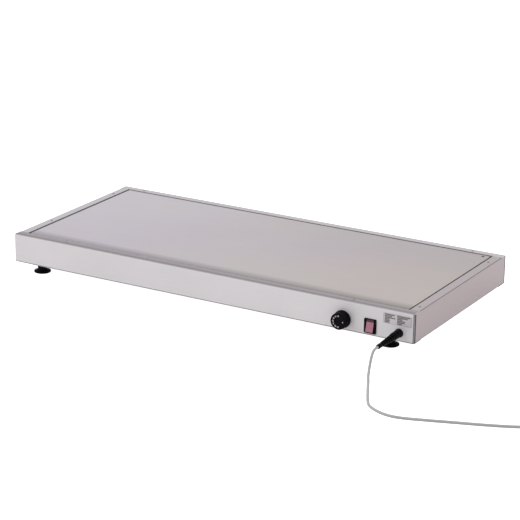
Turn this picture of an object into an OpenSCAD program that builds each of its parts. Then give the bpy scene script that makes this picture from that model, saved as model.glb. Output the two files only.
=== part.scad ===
// Electric food warmer tray. A folded stainless case stands on four levelling feet and frames a
// flat heated plate. The dial and the rocker switch sit on the front, beside the supply cord.
// Millimetres, +Z up. The front faces -Y, and the floor under the feet is z = 0.

/* [Case] */
// Length of the case, left to right
case_w = 1000; // [920:10:1200]
// Depth of the case, front to back
case_d = 450; // [430:10:600]
// Height of the case without its feet
case_h = 65; // [62:1:90]
// Thickness of the stainless sheet
sheet = 1.2; // [0.8:0.1:1.6]
// Outside radius of each fold
fold_r = 2.4; // [2:0.1:4]
// Width of the rim strip round the plate
rim_w = 22.5; // [20:0.5:30]
// Height of the lip folded down at the inner edge of the rim
lip_h = 7; // [4:0.5:9]
// Width of the flange folded in at the bottom
flange_w = 32; // [29:1:38]
// Open seam between a side panel and the front or back panel
seam = 3; // [1:0.5:5]
// Play where the sheets butt together
butt_gap = 0.2; // [0.1:0.1:0.4]
// Length of each leg of the corner brackets
bracket_leg = 14; // [10:1:16]
// Thickness of the corner brackets
bracket_t = 1.5; // [1:0.1:2]

/* [Heating plate] */
// Gap between the plate and the rim
plate_gap = 2.5; // [1:0.5:4]
// Height of the plate's face above the rim, or below it where less than 0
plate_rise = -0.6; // [-1.5:0.1:3]
// Thickness of the plate
plate_t = 1.5; // [1:0.1:2]
// Height of the skirt folded down round the plate
skirt_h = 11; // [10:0.5:14]
// Radius of the plate's upright corners
plate_corner_r = 3; // [2:0.5:6]
// Thickness of the heat-proof gasket under the skirt
gasket_t = 1.5; // [1:0.1:3]
// Width of the gasket
gasket_w = 6; // [4:0.5:8]
// Thickness of the Z-section frame that carries the plate
frame_t = 1.5; // [1:0.1:2]
// Width of the frame's ledge past the edge of the plate
ledge_w = 25.5; // [22:0.5:30]
// Plate screw's distance from the end of the plate
screw_in_x = 14; // [12:0.5:18]
// Plate screw's distance from the back of the plate
screw_in_y = 9.5; // [8:0.5:14]

/* [Heating element] */
// Outside radius of the tubular element
element_r = 4; // [3:0.25:4.5]
// Distance between two straight runs of the element
element_pitch = 80; // [70:2:84]
// Distance from the end of the plate to the centre of a bend of the element
element_in = 75; // [66:0.5:170]
// Gap between the plate and what is clamped to it
clamp_gap = 0.1; // [0.05:0.05:0.2]
// Thickness of the element straps
strap_t = 1.2; // [0.8:0.1:2]
// Width of the element straps
strap_w = 12; // [10:1:20]
// Radius of the temperature sensor's bulb
bulb_r = 3; // [2:0.25:3.5]
// Length of the temperature sensor's bulb
bulb_l = 90; // [60:5:110]

/* [Heat shield] */
// Thickness of the shield pan
pan_t = 0.8; // [0.6:0.1:1.2]
// Air gap from the bottom of the case up to the pan
pan_clear = 20; // [16:1:26]
// Distance from the front of the case to the pan's front wall
pan_front = 74; // [70:1:90]
// Thickness of the insulation
blanket_t = 20; // [10:1:24]

/* [Bottom cover] */
// Thickness of the bottom cover
cover_t = 1; // [0.8:0.1:1.5]
// How far the cover is set in from the edge of the case
cover_in = 3; // [2:0.5:6]
// Length of a vent slot
vent_l = 60; // [30:5:80]
// Width of a vent slot
vent_w = 4; // [3:0.5:6]

/* [Feet] */
// Height of the case above the floor, feet screwed right in
foot_h = 18.5; // [16:0.5:24]
// Travel of a levelling foot
foot_travel = 10; // [4:1:11]
// Radius of the foot's round base
foot_r = 19; // [14:0.5:22]
// Radius of the foot's neck
neck_r = 10.5; // [8:0.5:11]
// Thickness of the foot's base at its rim
foot_rim_t = 3.7; // [3:0.1:5]
// Foot's distance from the end of the case
foot_in_x = 62; // [50:1:66]
// Foot's distance from the front or back of the case
foot_in_y = 17.5; // [14:0.5:20]
// Radius of the foot's threaded stud
stud_r = 4; // [3:0.5:5]

/* [Dial] */
// Dial's distance from the right end of the case
knob_x = 164; // [155:1:180]
// Dial's height above the bottom of the case
knob_z = 24; // [22:0.5:30]
// Radius of the dial
knob_r = 19.2; // [16:0.2:21]
// Depth of the dial
knob_depth = 21; // [18:0.5:26]
// Gap between the dial and the panel
knob_gap = 1; // [0.5:0.1:2]
// Radius of the dial's shaft
shaft_r = 3; // [2.5:0.25:4]
// Radial play of a turning or sliding part
running = 0.05; // [0.02:0.01:0.08]

/* [Switch] */
// Switch's distance from the right end of the case
switch_x = 100; // [90:1:105]
// Switch's height above the bottom of the case
switch_z = 20.5; // [19.5:0.5:26]
// Width of the switch's bezel
bezel_w = 28; // [26:0.5:32]
// Height of the switch's bezel
bezel_h = 32; // [31:0.5:36]
// How far the bezel stands out from the panel
bezel_t = 2; // [1:0.1:3]
// Width of the rocker
rocker_w = 17; // [14:0.5:18]
// Throw of the rocker, in degrees
rocker_throw = 26; // [16:1:28]

/* [Supply cord] */
// Cord's distance from the right end of the case
gland_x = 34; // [24:1:37]
// Cord's height above the bottom of the case
gland_z = 18.5; // [18:0.5:26]
// Length of the strain relief outside the case
relief_l = 96; // [80:1:110]
// Radius of the strain relief at the panel
relief_r = 8.5; // [8:0.25:10]
// Radius of the cord
cord_r = 3; // [2.5:0.25:3.5]
// Number of turns in the coil
coil_turns = 5.25; // [3.25:1:7.25]
// Radius of the coil's outermost turn, at the middle of the cord
coil_r = 43; // [40:0.5:48]
// Gap between two turns that lie side by side or on each other
turn_gap = 0.7; // [0.5:0.1:1.5]
// Thickness of the tie round the coil
tie_t = 0.8; // [0.6:0.1:1]
// Radius of the plug
plug_r = 18.5; // [16:0.5:20]

/* [Rating plate] */
// Width of the blank rating plate
label_w = 65; // [50:1:68]
// Height of the blank rating plate
label_h = 23; // [16:1:24]

/* [Hidden] */

$fn = 48;
eps = 0.01; // how far a cut runs past the face it opens

// Levels and faces of the case. The middle of the case lies behind y = 0 by half of what the
// dial stands out, so that the whole object is centred on the origin.
knob_proud = knob_gap + knob_depth;
front_y = knob_proud / 2 - case_d / 2;
back_y = front_y + case_d;
mid_y = front_y + case_d / 2;
end_x = case_w / 2;
base_z = foot_h;
top_z = foot_h + case_h;
opening_w = case_w - 2 * rim_w;
opening_d = case_d - 2 * rim_w;

// The controls' places, right of the middle of the case
dial_x = end_x - knob_x;
rocker_x = end_x - switch_x;
cord_x = end_x - gland_x;

steel = [0.78, 0.76, 0.77];
plate_steel = [0.75, 0.73, 0.75];
dull_steel = [0.45, 0.44, 0.44];
zinc = [0.66, 0.67, 0.69];
black = [0.06, 0.05, 0.06];
brass = [0.72, 0.58, 0.30];

// ---------------------------------------------------------------- case

// A quarter of a sheet's bend about the origin, from the -X side round to the +Y side
module bend_2d(outer) {
    intersection() {
        difference() {
            circle(r = outer);
            circle(r = outer - sheet);
        }
        translate([-outer, 0]) square([outer, outer]);
    }
}

// The panel's section, drawn as depth from the outer face and height above the bottom
module wall_2d() {
    translate([0, fold_r]) square([sheet, case_h - 2 * fold_r]);
}

module rim_2d(width) {
    translate([fold_r, case_h - fold_r]) bend_2d(fold_r);
    translate([fold_r, case_h - sheet]) square([width - fold_r, sheet]);
}

module lip_2d() {
    translate([rim_w - fold_r, case_h - fold_r]) mirror([1, 0]) bend_2d(fold_r);
    translate([rim_w - sheet, case_h - lip_h]) square([sheet, lip_h - fold_r]);
}

module flange_2d() {
    translate([fold_r, fold_r]) mirror([0, 1]) bend_2d(fold_r);
    translate([fold_r, 0]) square([flange_w - fold_r, sheet]);
}

// Extrudes a section along X, centred, with its depth running back from the front face
module along_x(length) {
    translate([-length / 2, front_y, base_z]) rotate([90, 0, 90]) linear_extrude(length)
        children();
}

// Extrudes a section along Y, centred, with its depth running in from the left end
module along_y(length) {
    translate([-end_x, mid_y + length / 2, base_z]) rotate([90, 0, 0]) linear_extrude(length)
        children();
}

// Front or back panel: the strip along the rim runs the whole length of the case
module long_panel() {
    along_x(case_w) {
        wall_2d();
        rim_2d(rim_w - fold_r);
        flange_2d();
    }
    along_x(opening_w) lip_2d();
    for (x = [-end_x, end_x - rim_w])
        translate([x, front_y + rim_w - fold_r - eps, top_z - sheet])
            cube([rim_w, fold_r + eps, sheet]);
}

// Side panel: its strip of rim butts between the front and back strips
module end_panel() {
    wall_l = case_d - 2 * (sheet + seam);
    along_y(wall_l) translate([0, sheet + butt_gap])
        square([sheet, case_h - 2 * (sheet + butt_gap)]);
    along_y(opening_d - 2 * butt_gap) {
        wall_2d();
        rim_2d(rim_w - fold_r);
        lip_2d();
    }
    along_y(case_d - 2 * (flange_w + butt_gap)) {
        wall_2d();
        flange_2d();
    }
}

rivet_r = 2;
rivet_head_r = 3;
rivet_head_t = 0.8;
rivet_in = 12; // rivets' distance from the outer face of the case
front_rivets = [-0.367, 0.354]; // as shares of the case's length, from its middle
back_rivets = [-0.44, 0.426];
left_rivets = [-0.222, 0.338]; // as shares of the case's depth, from its middle
right_rivets = [-0.396, 0.353];
rivet_points = [
    for (x = front_rivets) [x * case_w, front_y + rivet_in],
    for (x = back_rivets) [x * case_w, back_y - rivet_in],
    for (y = left_rivets) [-end_x + rivet_in, mid_y + y * case_d],
    for (y = right_rivets) [end_x - rivet_in, mid_y + y * case_d]
];

module at_rivets(z) {
    for (p = rivet_points) translate([p[0], p[1], z]) children();
}

foot_points = [
    [-end_x + foot_in_x, front_y + foot_in_y], [end_x - foot_in_x, front_y + foot_in_y],
    [-end_x + foot_in_x, back_y - foot_in_y], [end_x - foot_in_x, back_y - foot_in_y]
];
foot_play = 0.5; // play of a foot's stud in the holes of the case

module foot_holes() {
    for (p = foot_points) translate([p[0], p[1], base_z - cover_t - eps])
        cylinder(r = stud_r + foot_play, h = cover_t + sheet + 2 * eps);
}

cover_screw_r = 1.75;
cover_screw_in = 20; // cover screws' distance from the outer face of the case
cover_screw_x = [-0.3, 0, 0.3]; // as shares of the case's length
cover_screw_y = [-0.2, 0.2]; // as shares of the case's depth
cover_screws_at = [
    for (x = cover_screw_x) for (y = [front_y + cover_screw_in, back_y - cover_screw_in])
        [x * case_w, y],
    for (y = cover_screw_y) for (side = [-1, 1])
        [side * (end_x - cover_screw_in), mid_y + y * case_d]
];

module cover_screw_holes() {
    for (p = cover_screws_at) translate([p[0], p[1], base_z - cover_t - eps])
        cylinder(r = cover_screw_r + running, h = cover_t + sheet + 2 * eps, $fn = 24);
}

module rivet_holes() {
    at_rivets(top_z - sheet - eps) cylinder(r = rivet_r + running, h = sheet + 2 * eps, $fn = 24);
}

screw_play = 0.3; // play of a fixing screw in a sheet's hole
thermo_screw_r = 2;
thermo_screw_half = 13; // half the distance between the thermostat's two screws
nose_r = 5; // radius of the thermostat's nose, which pokes through the panel
relief_neck_r = relief_r - 1;
housing_play = 0.2; // play of the switch housing in the panel's cut-out
housing_w = rocker_w + 4.6;
housing_h = bezel_h - 2.6;

module front_panel() {
    color(steel) difference() {
        long_panel();
        rivet_holes();
        foot_holes();
        cover_screw_holes();
        translate([dial_x, front_y - eps, base_z + knob_z]) rotate([-90, 0, 0])
            cylinder(r = nose_r + screw_play, h = sheet + 2 * eps);
        for (side = [-1, 1])
            translate([dial_x + side * thermo_screw_half, front_y - eps, base_z + knob_z])
                rotate([-90, 0, 0]) cylinder(r = thermo_screw_r + screw_play, h = sheet + 2 * eps);
        translate([rocker_x - housing_w / 2 - housing_play, front_y - eps,
                base_z + switch_z - housing_h / 2 - housing_play])
            cube([housing_w + 2 * housing_play, sheet + 2 * eps, housing_h + 2 * housing_play]);
        translate([cord_x, front_y - eps, base_z + gland_z]) rotate([-90, 0, 0])
            cylinder(r = relief_neck_r + screw_play, h = sheet + 2 * eps);
    }
}

module back_panel() {
    color(steel) difference() {
        translate([0, 2 * mid_y, 0]) mirror([0, 1, 0]) long_panel();
        rivet_holes();
        foot_holes();
        cover_screw_holes();
    }
}

module left_side_panel() {
    color(steel) difference() {
        end_panel();
        rivet_holes();
        cover_screw_holes();
    }
}

earth_in = 14; // earth stud's distance from the right end of the case
earth_back = 52; // earth stud's distance from the front of the case
earth_y = front_y + earth_back;
earth_r = 2;

module right_side_panel() {
    color(steel) difference() {
        mirror([1, 0, 0]) end_panel();
        rivet_holes();
        cover_screw_holes();
        translate([end_x - earth_in, earth_y, base_z - eps])
            cylinder(r = earth_r + running, h = sheet + 2 * eps, $fn = 24);
    }
}

bracket_r = 6; // outside radius of the corner brackets' bend
bracket_low = 9; // corner brackets' distance from the bottom of the case
bracket_high = 16; // corner brackets' distance from the top of the case

// Angle brackets inside the upright corners join the panels behind the open seam
module corner_brackets() {
    color(dull_steel)
        for (sx = [-1, 1]) for (sy = [-1, 1])
            translate([0, mid_y, base_z + bracket_low]) mirror([sx < 0 ? 1 : 0, 0, 0])
                mirror([0, sy < 0 ? 1 : 0, 0])
                translate([end_x - sheet - bracket_r, case_d / 2 - sheet - bracket_r, 0])
                linear_extrude(case_h - bracket_low - bracket_high) {
                    intersection() {
                        difference() {
                            circle(r = bracket_r);
                            circle(r = bracket_r - bracket_t);
                        }
                        square(bracket_r);
                    }
                    translate([bracket_r - bracket_t, bracket_r - bracket_leg])
                        square([bracket_t, bracket_leg - bracket_r]);
                    translate([bracket_r - bracket_leg, bracket_r - bracket_t])
                        square([bracket_leg - bracket_r, bracket_t]);
                }
}

rivet_tail_t = 1.4;

// Rivets through the rim and the top flange of the plate's frame
module rim_rivets() {
    color(zinc) at_rivets(top_z) {
        cylinder(r = rivet_head_r, h = rivet_head_t, $fn = 32);
        translate([0, 0, -sheet - frame_t - eps])
            cylinder(r = rivet_r, h = sheet + frame_t + 2 * eps, $fn = 24);
        translate([0, 0, -sheet - frame_t - rivet_tail_t])
            cylinder(r = rivet_head_r, h = rivet_tail_t, $fn = 24);
    }
}

label_t = 0.5;
label_right = 6; // rating plate's distance from the right end of the case
label_low = 34; // rating plate's distance from the bottom of the case

module rating_plate() {
    color([0.70, 0.69, 0.70])
        translate([end_x - label_right - label_w, front_y - label_t, base_z + label_low])
            cube([label_w, label_t, label_h]);
}

// ---------------------------------------------------------------- heating plate

plate_w = opening_w - 2 * plate_gap;
plate_d = opening_d - 2 * plate_gap;
plate_top = top_z + plate_rise;
plate_under = plate_top - plate_t;
skirt_low = plate_top - skirt_h;
ledge_top = skirt_low - gasket_t;
ledge_low = ledge_top - frame_t;
ledge_in = rim_w + plate_gap + ledge_w; // the ledge's inner edge, from the outer face
web_out = 18.5; // the frame's upright web, from the outer face
web_in = web_out + frame_t;

// A block of the given height between two rectangles, each set in from the case's outer faces
module ring(outer_in, inner_in, z, h) {
    translate([0, mid_y, z]) difference() {
        translate([-end_x + outer_in, -case_d / 2 + outer_in, 0])
            cube([case_w - 2 * outer_in, case_d - 2 * outer_in, h]);
        translate([-end_x + inner_in, -case_d / 2 + inner_in, -eps])
            cube([case_w - 2 * inner_in, case_d - 2 * inner_in, h + 2 * eps]);
    }
}

frame_out = 6; // outer edge of the frame's top flange, from the outer face of the case
plate_screw_at = [plate_w / 2 - screw_in_x, mid_y + plate_d / 2 - screw_in_y];
plate_screw_r = 2;
pan_screw_r = 1.5;
pan_lap = 8; // how far the pan's flange laps under the ledge
pan_screw_x = [-0.36, -0.12, 0.12, 0.36]; // as shares of the case's length
pan_screw_y = [-0.2, 0.2]; // as shares of the case's depth
pan_screw_in = ledge_in - pan_lap / 2;
pan_screws_at = [
    for (x = pan_screw_x) for (y = [front_y + pan_screw_in, back_y - pan_screw_in])
        [x * case_w, y],
    for (y = pan_screw_y) for (side = [-1, 1])
        [side * (end_x - pan_screw_in), mid_y + y * case_d]
];

// Welded Z-section frame: riveted under the rim, its ledge carries the gasket and the plate
module plate_frame() {
    color(dull_steel) difference() {
        union() {
            ring(frame_out, web_in, top_z - sheet - frame_t, frame_t);
            ring(web_out, web_in, ledge_low, top_z - sheet - ledge_low);
            ring(web_out, ledge_in, ledge_low, frame_t);
        }
        at_rivets(top_z - sheet - frame_t - eps)
            cylinder(r = rivet_r + running, h = frame_t + 2 * eps, $fn = 24);
        translate([plate_screw_at[0], plate_screw_at[1], ledge_low - eps])
            cylinder(r = plate_screw_r + screw_play, h = frame_t + 2 * eps, $fn = 24);
        for (p = pan_screws_at) translate([p[0], p[1], ledge_low - eps])
            cylinder(r = pan_screw_r + running, h = frame_t + 2 * eps, $fn = 24);
    }
}

module plate_gasket() {
    color([0.82, 0.80, 0.74])
        ring(rim_w + plate_gap - 1, rim_w + plate_gap - 1 + gasket_w, ledge_top, gasket_t);
}

// A flat outline with round corners
module rounded_2d(width, depth, radius) {
    translate([-width / 2 + radius, -depth / 2]) square([width - 2 * radius, depth]);
    translate([-width / 2, -depth / 2 + radius]) square([width, depth - 2 * radius]);
    for (sx = [-1, 1]) for (sy = [-1, 1])
        translate([sx * (width / 2 - radius), sy * (depth / 2 - radius)]) circle(r = radius);
}

small_nut_r = 4; // small hexagon nuts, over the corners
weld_stud_r = 2;
strap_nut_h = 3.2;
strap_x = [-0.75, -0.25, 0.25, 0.75]; // as shares of the element's half length
strap_reach = 1.85 * element_pitch; // straps' half length
stud_y = [-1.8 * element_pitch + 2, 0, 1.8 * element_pitch - 2];
strap_top = plate_under - clamp_gap - 2 * element_r - clamp_gap;
strap_low = strap_top - strap_t;

module at_studs(z) {
    for (x = strap_x) for (y = stud_y) translate([x * element_half, mid_y + y, z]) children();
}

plate_head_r = 3.6;
plate_head_t = 1.4;
plate_nut_t = 3.2;
sink_play = 0.1; // play of the sunk screw head in the plate
sink_low = 0.1; // how far the sunk head lies below the plate's face

// Folded tray of plain sheet with a skirt, and studs welded under it for the straps
module heating_plate() {
    color(plate_steel) difference() {
        union() {
            translate([0, mid_y, skirt_low]) difference() {
                linear_extrude(skirt_h) rounded_2d(plate_w, plate_d, plate_corner_r);
                translate([0, 0, -eps]) linear_extrude(skirt_h - plate_t + eps)
                    rounded_2d(plate_w - 2 * plate_t, plate_d - 2 * plate_t,
                        plate_corner_r - plate_t);
            }
            at_studs(strap_low - strap_nut_h - 1)
                cylinder(r = weld_stud_r, h = plate_under - strap_low + strap_nut_h + 1 + eps,
                    $fn = 24);
        }
        translate([plate_screw_at[0], plate_screw_at[1], plate_under - eps])
            cylinder(r = plate_screw_r + screw_play, h = plate_t + 2 * eps, $fn = 24);
        translate([plate_screw_at[0], plate_screw_at[1], plate_top - plate_head_t])
            cylinder(r1 = plate_screw_r + sink_play, r2 = plate_head_r + sink_play,
                h = plate_head_t + eps, $fn = 32);
    }
}

// Sunk-head screw that holds the plate down on the frame, and its nut
module plate_screw() {
    color(zinc) translate([plate_screw_at[0], plate_screw_at[1], 0]) {
        translate([0, 0, plate_top - plate_head_t])
            cylinder(r1 = plate_screw_r, r2 = plate_head_r - sink_low, h = plate_head_t - sink_low,
                $fn = 32);
        translate([0, 0, ledge_low - plate_nut_t - 1])
            cylinder(r = plate_screw_r, h = plate_top - plate_head_t - ledge_low + plate_nut_t
                + 1 + eps, $fn = 24);
        translate([0, 0, ledge_low - plate_nut_t])
            cylinder(r = small_nut_r, h = plate_nut_t, $fn = 6);
    }
}

// ---------------------------------------------------------------- heating element

element_z = plate_under - clamp_gap - element_r;
runs = 4;
element_half = plate_w / 2 - element_in; // half length of a straight run
cold_l = 20; // how far the outer runs go past the right-hand bends' centres
function run_y(k) = mid_y + (k - (runs - 1) / 2) * element_pitch;

module element_bend(x, y, side) {
    translate([x, y, element_z]) rotate([0, 0, side > 0 ? -90 : 90])
        rotate_extrude(angle = 180) translate([element_pitch / 2, 0]) circle(r = element_r, $fn = 32);
}

// Sheathed tube bent into four runs, clamped under the plate
module heating_element() {
    color([0.30, 0.29, 0.28]) {
        for (k = [0:runs - 1]) {
            extra = k == 0 || k == runs - 1 ? cold_l : 0;
            translate([-element_half, run_y(k), element_z]) rotate([0, 90, 0])
                cylinder(r = element_r, h = 2 * element_half + extra, $fn = 32);
        }
        element_bend(-element_half, (run_y(0) + run_y(1)) / 2, -1);
        element_bend(-element_half, (run_y(2) + run_y(3)) / 2, -1);
        element_bend(element_half, (run_y(1) + run_y(2)) / 2, 1);
    }
}

bush_l = 7;
pin_l = 10;
pin_r = 1.6;

// Ceramic bush and threaded pin at each cold end of the element
module element_terminals() {
    for (k = [0, runs - 1]) translate([element_half + cold_l, run_y(k), element_z])
        rotate([0, 90, 0]) {
            color([0.92, 0.90, 0.84]) cylinder(r = element_r - 0.5, h = bush_l, $fn = 32);
            color(brass) translate([0, 0, bush_l - eps]) cylinder(r = pin_r, h = pin_l, $fn = 24);
        }
}

module element_straps() {
    color(zinc) difference() {
        for (x = strap_x) translate([x * element_half - strap_w / 2, mid_y - strap_reach, strap_low])
            cube([strap_w, 2 * strap_reach, strap_t]);
        at_studs(strap_low - eps)
            cylinder(r = weld_stud_r + running, h = strap_t + 2 * eps, $fn = 24);
    }
}

module strap_nuts() {
    color(zinc) at_studs(strap_low - strap_nut_h) difference() {
        cylinder(r = small_nut_r, h = strap_nut_h, $fn = 6);
        translate([0, 0, -eps])
            cylinder(r = weld_stud_r + running, h = strap_nut_h + 2 * eps, $fn = 24);
    }
}

// The bulb lies against the plate, midway between the first two runs
bulb_y = (run_y(0) + run_y(1)) / 2;
bulb_z = plate_under - clamp_gap - bulb_r;
bulb_x = 0.5 * element_half;

module sensor_bulb() {
    color([0.72, 0.45, 0.30]) translate([bulb_x - bulb_l / 2, bulb_y, bulb_z]) rotate([0, 90, 0])
        cylinder(r = bulb_r, h = bulb_l, $fn = 32);
}

clip_l = 16;
clip_t = 1.5;

// Saddle welded under the plate, which holds the bulb
module bulb_clip() {
    reach = bulb_r + 0.1;
    color(zinc) translate([bulb_x - clip_l / 2, bulb_y, 0]) difference() {
        translate([0, -reach - clip_t, bulb_z - reach - clip_t])
            cube([clip_l, 2 * (reach + clip_t), plate_under - bulb_z + reach + clip_t]);
        translate([-eps, 0, bulb_z]) rotate([0, 90, 0])
            cylinder(r = reach, h = clip_l + 2 * eps, $fn = 32);
        translate([-eps, -reach, bulb_z]) cube([clip_l + 2 * eps, 2 * reach, 2 * reach]);
    }
}

// ---------------------------------------------------------------- heat shield

pan_side = ledge_in + 6; // the pan's side and back walls, from the outer faces of the case
pan_low = base_z + pan_clear;
pan_x = 2 * (end_x - pan_side);
pan_y0 = front_y + pan_front;
pan_y = back_y - pan_side - pan_y0;
wire_hole_r = 6;
wire_hole_in = (ledge_in + pan_front) / 2; // wire holes' distance from the front of the case
wire_holes_x = [dial_x + 8, rocker_x - 5, rocker_x + 25];

// Aluminium pan under the element. Its flange is screwed up against the ledge.
module shield_pan() {
    lap_in = ledge_in - pan_lap;
    color([0.70, 0.71, 0.72]) difference() {
        union() {
            translate([-pan_x / 2, pan_y0, pan_low]) cube([pan_x, pan_y, ledge_low - pan_low]);
            translate([-end_x + lap_in, front_y + lap_in, ledge_low - pan_t])
                cube([case_w - 2 * lap_in, case_d - 2 * lap_in, pan_t]);
        }
        translate([-pan_x / 2 + pan_t, pan_y0 + pan_t, pan_low + pan_t])
            cube([pan_x - 2 * pan_t, pan_y - 2 * pan_t, ledge_low - pan_low]);
        for (x = wire_holes_x) translate([x, front_y + wire_hole_in, ledge_low - pan_t - eps])
            cylinder(r = wire_hole_r, h = pan_t + 2 * eps);
        for (p = pan_screws_at) translate([p[0], p[1], ledge_low - pan_t - eps])
            cylinder(r = pan_screw_r + running, h = pan_t + 2 * eps, $fn = 24);
    }
}

module pan_screws() {
    color(zinc) for (p = pan_screws_at) translate([p[0], p[1], ledge_low - pan_t]) {
        translate([0, 0, -2]) cylinder(r = 3, h = 2, $fn = 24);
        translate([0, 0, -eps]) cylinder(r = pan_screw_r, h = pan_t + frame_t + 2, $fn = 24);
    }
}

blanket_play = 1; // play between the insulation and the pan's walls

module insulation_blanket() {
    color([0.90, 0.86, 0.68])
        translate([-pan_x / 2 + pan_t + blanket_play, pan_y0 + pan_t + blanket_play, pan_low + pan_t])
            cube([pan_x - 2 * (pan_t + blanket_play), pan_y - 2 * (pan_t + blanket_play), blanket_t]);
}

// ---------------------------------------------------------------- bottom cover

vent_rows = 6;
vent_step = 14;

module vent_slots() {
    for (side = [-1, 1]) for (k = [0:vent_rows - 1])
        translate([side * case_w / 4, mid_y + (k - (vent_rows - 1) / 2) * vent_step, -eps]) {
            translate([-vent_l / 2, -vent_w / 2, 0]) cube([vent_l, vent_w, cover_t + 2 * eps]);
            for (end = [-1, 1]) translate([end * vent_l / 2, 0, 0])
                cylinder(r = vent_w / 2, h = cover_t + 2 * eps, $fn = 24);
        }
}

module bottom_cover() {
    color(zinc) difference() {
        translate([-end_x + cover_in, front_y + cover_in, base_z - cover_t])
            cube([case_w - 2 * cover_in, case_d - 2 * cover_in, cover_t]);
        translate([0, 0, base_z - cover_t]) vent_slots();
        foot_holes();
        cover_screw_holes();
    }
}

module cover_screws() {
    color(zinc) for (p = cover_screws_at) translate([p[0], p[1], base_z - cover_t]) {
        translate([0, 0, -1.8]) cylinder(r = 3.4, h = 1.8, $fn = 24);
        translate([0, 0, -eps]) cylinder(r = cover_screw_r, h = cover_t + sheet + 3, $fn = 24);
    }
}

// ---------------------------------------------------------------- feet

foot_nut_h = 6.5;
foot_nut_r = stud_r + 3.5;
foot_clear = 0.3; // gap over the neck of a foot that is screwed right in
foot_top = base_z - cover_t - foot_clear;
stud_low = 5; // bottom of the stud, moulded into the foot
stud_top = base_z + sheet + foot_nut_h + foot_travel + 1;

// Nuts welded on the bottom flanges, in which the feet screw up and down
module foot_nuts() {
    color(zinc) for (p = foot_points) translate([p[0], p[1], base_z + sheet]) difference() {
        cylinder(r = foot_nut_r, h = foot_nut_h, $fn = 6);
        translate([0, 0, -eps]) cylinder(r = stud_r + running, h = foot_nut_h + 2 * eps);
    }
}

// A foot's round base, its shallow cone and its neck, hollow for the stud
module foot(k) {
    edge = 1; // bevel of the base's lower edge
    cone_z = foot_rim_t + 2.5;
    color(black) translate([foot_points[k][0], foot_points[k][1], 0]) rotate_extrude($fn = 64)
        difference() {
            polygon([[0, 0], [foot_r - edge, 0], [foot_r, edge], [foot_r, foot_rim_t - 0.5],
                [foot_r - 0.5, foot_rim_t], [neck_r + 1, cone_z], [neck_r, cone_z + 1],
                [neck_r, foot_top], [0, foot_top]]);
            translate([-1, stud_low]) square([stud_r + running + 1, foot_top]);
        }
}

module stud(k) {
    color(zinc) translate([foot_points[k][0], foot_points[k][1], stud_low])
        cylinder(r = stud_r, h = stud_top - stud_low);
}

module front_left_foot() { foot(0); }
module front_left_stud() { stud(0); }
module front_right_foot() { foot(1); }
module front_right_stud() { stud(1); }
module rear_left_foot() { foot(2); }
module rear_left_stud() { stud(2); }
module rear_right_foot() { foot(3); }
module rear_right_stud() { stud(3); }

// ---------------------------------------------------------------- thermostat and dial

thermo_w = 38;
thermo_h = 33;
thermo_t = 24;
thermo_y = front_y + sheet;
nose_l = sheet + 0.6;
shaft_in = 12; // how deep the shaft goes into the thermostat
shaft_tip = 3; // thickness of the dial's face in front of the shaft
tab_l = 8;

module thermostat_body() {
    color([0.86, 0.84, 0.78]) difference() {
        union() {
            translate([dial_x - thermo_w / 2, thermo_y, base_z + knob_z - thermo_h / 2])
                cube([thermo_w, thermo_t, thermo_h]);
            translate([dial_x, thermo_y - nose_l, base_z + knob_z]) rotate([-90, 0, 0])
                cylinder(r = nose_r, h = nose_l + eps);
        }
        translate([dial_x, thermo_y - nose_l - eps, base_z + knob_z]) rotate([-90, 0, 0])
            cylinder(r = shaft_r + running, h = nose_l + shaft_in + 0.5);
        for (side = [-1, 1])
            translate([dial_x + side * thermo_screw_half, thermo_y - eps, base_z + knob_z])
                rotate([-90, 0, 0]) cylinder(r = thermo_screw_r + running, h = 8, $fn = 24);
    }
}

module thermostat_screws() {
    color(zinc) for (side = [-1, 1])
        translate([dial_x + side * thermo_screw_half, front_y, base_z + knob_z])
            rotate([90, 0, 0]) {
                cylinder(r = 2.6, h = 0.6, $fn = 24);
                translate([0, 0, -sheet - 7])
                    cylinder(r = thermo_screw_r, h = sheet + 7 + eps, $fn = 24);
            }
}

thermo_tabs_x = [-6, 6];

module thermostat_tabs() {
    color(brass) for (x = thermo_tabs_x)
        translate([dial_x + x - 0.4, thermo_y + thermo_t, base_z + knob_z - 3.15])
            cube([0.8, tab_l, 6.3]);
}

module dial_shaft() {
    color(zinc) translate([dial_x, front_y - knob_proud + shaft_tip, base_z + knob_z])
        rotate([-90, 0, 0])
            cylinder(r = shaft_r, h = knob_proud - shaft_tip + sheet + shaft_in);
}

flutes = 30;
flute_r = 1.1;
flute_depth = 0.75;
hub_r = 7;
knob_wall = 3;
knob_step = 1.2; // how much smaller the fluted grip is than the dial's foot
knob_foot = 3.5; // height of the dial's foot

// Moulded dial: a round foot, a fluted grip, a ring round its flat face, and a hub on the shaft
module dial_knob() {
    grip_r = knob_r - knob_step;
    color(black) translate([dial_x, front_y - knob_gap, base_z + knob_z]) rotate([90, 0, 0])
        difference() {
            rotate_extrude($fn = 72) polygon([
                [0, knob_depth - 1], [grip_r - 4, knob_depth - 1], [grip_r - 3.4, knob_depth],
                [grip_r - 1.6, knob_depth], [grip_r, knob_depth - 1.6], [grip_r, knob_foot],
                [knob_r, knob_foot - 0.6], [knob_r, 0], [grip_r - knob_wall, 0],
                [grip_r - knob_wall, knob_depth - 4], [hub_r, knob_depth - 4], [hub_r, 2], [0, 2]]);
            translate([0, 0, -eps])
                cylinder(r = shaft_r + running, h = knob_depth - shaft_tip + eps);
            for (k = [0:flutes - 1]) rotate([0, 0, k * 360 / flutes])
                translate([grip_r - flute_depth + flute_r, 0, knob_foot + 0.5])
                    cylinder(r = flute_r, h = knob_depth, $fn = 16);
        }
}

// ---------------------------------------------------------------- rocker switch

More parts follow.
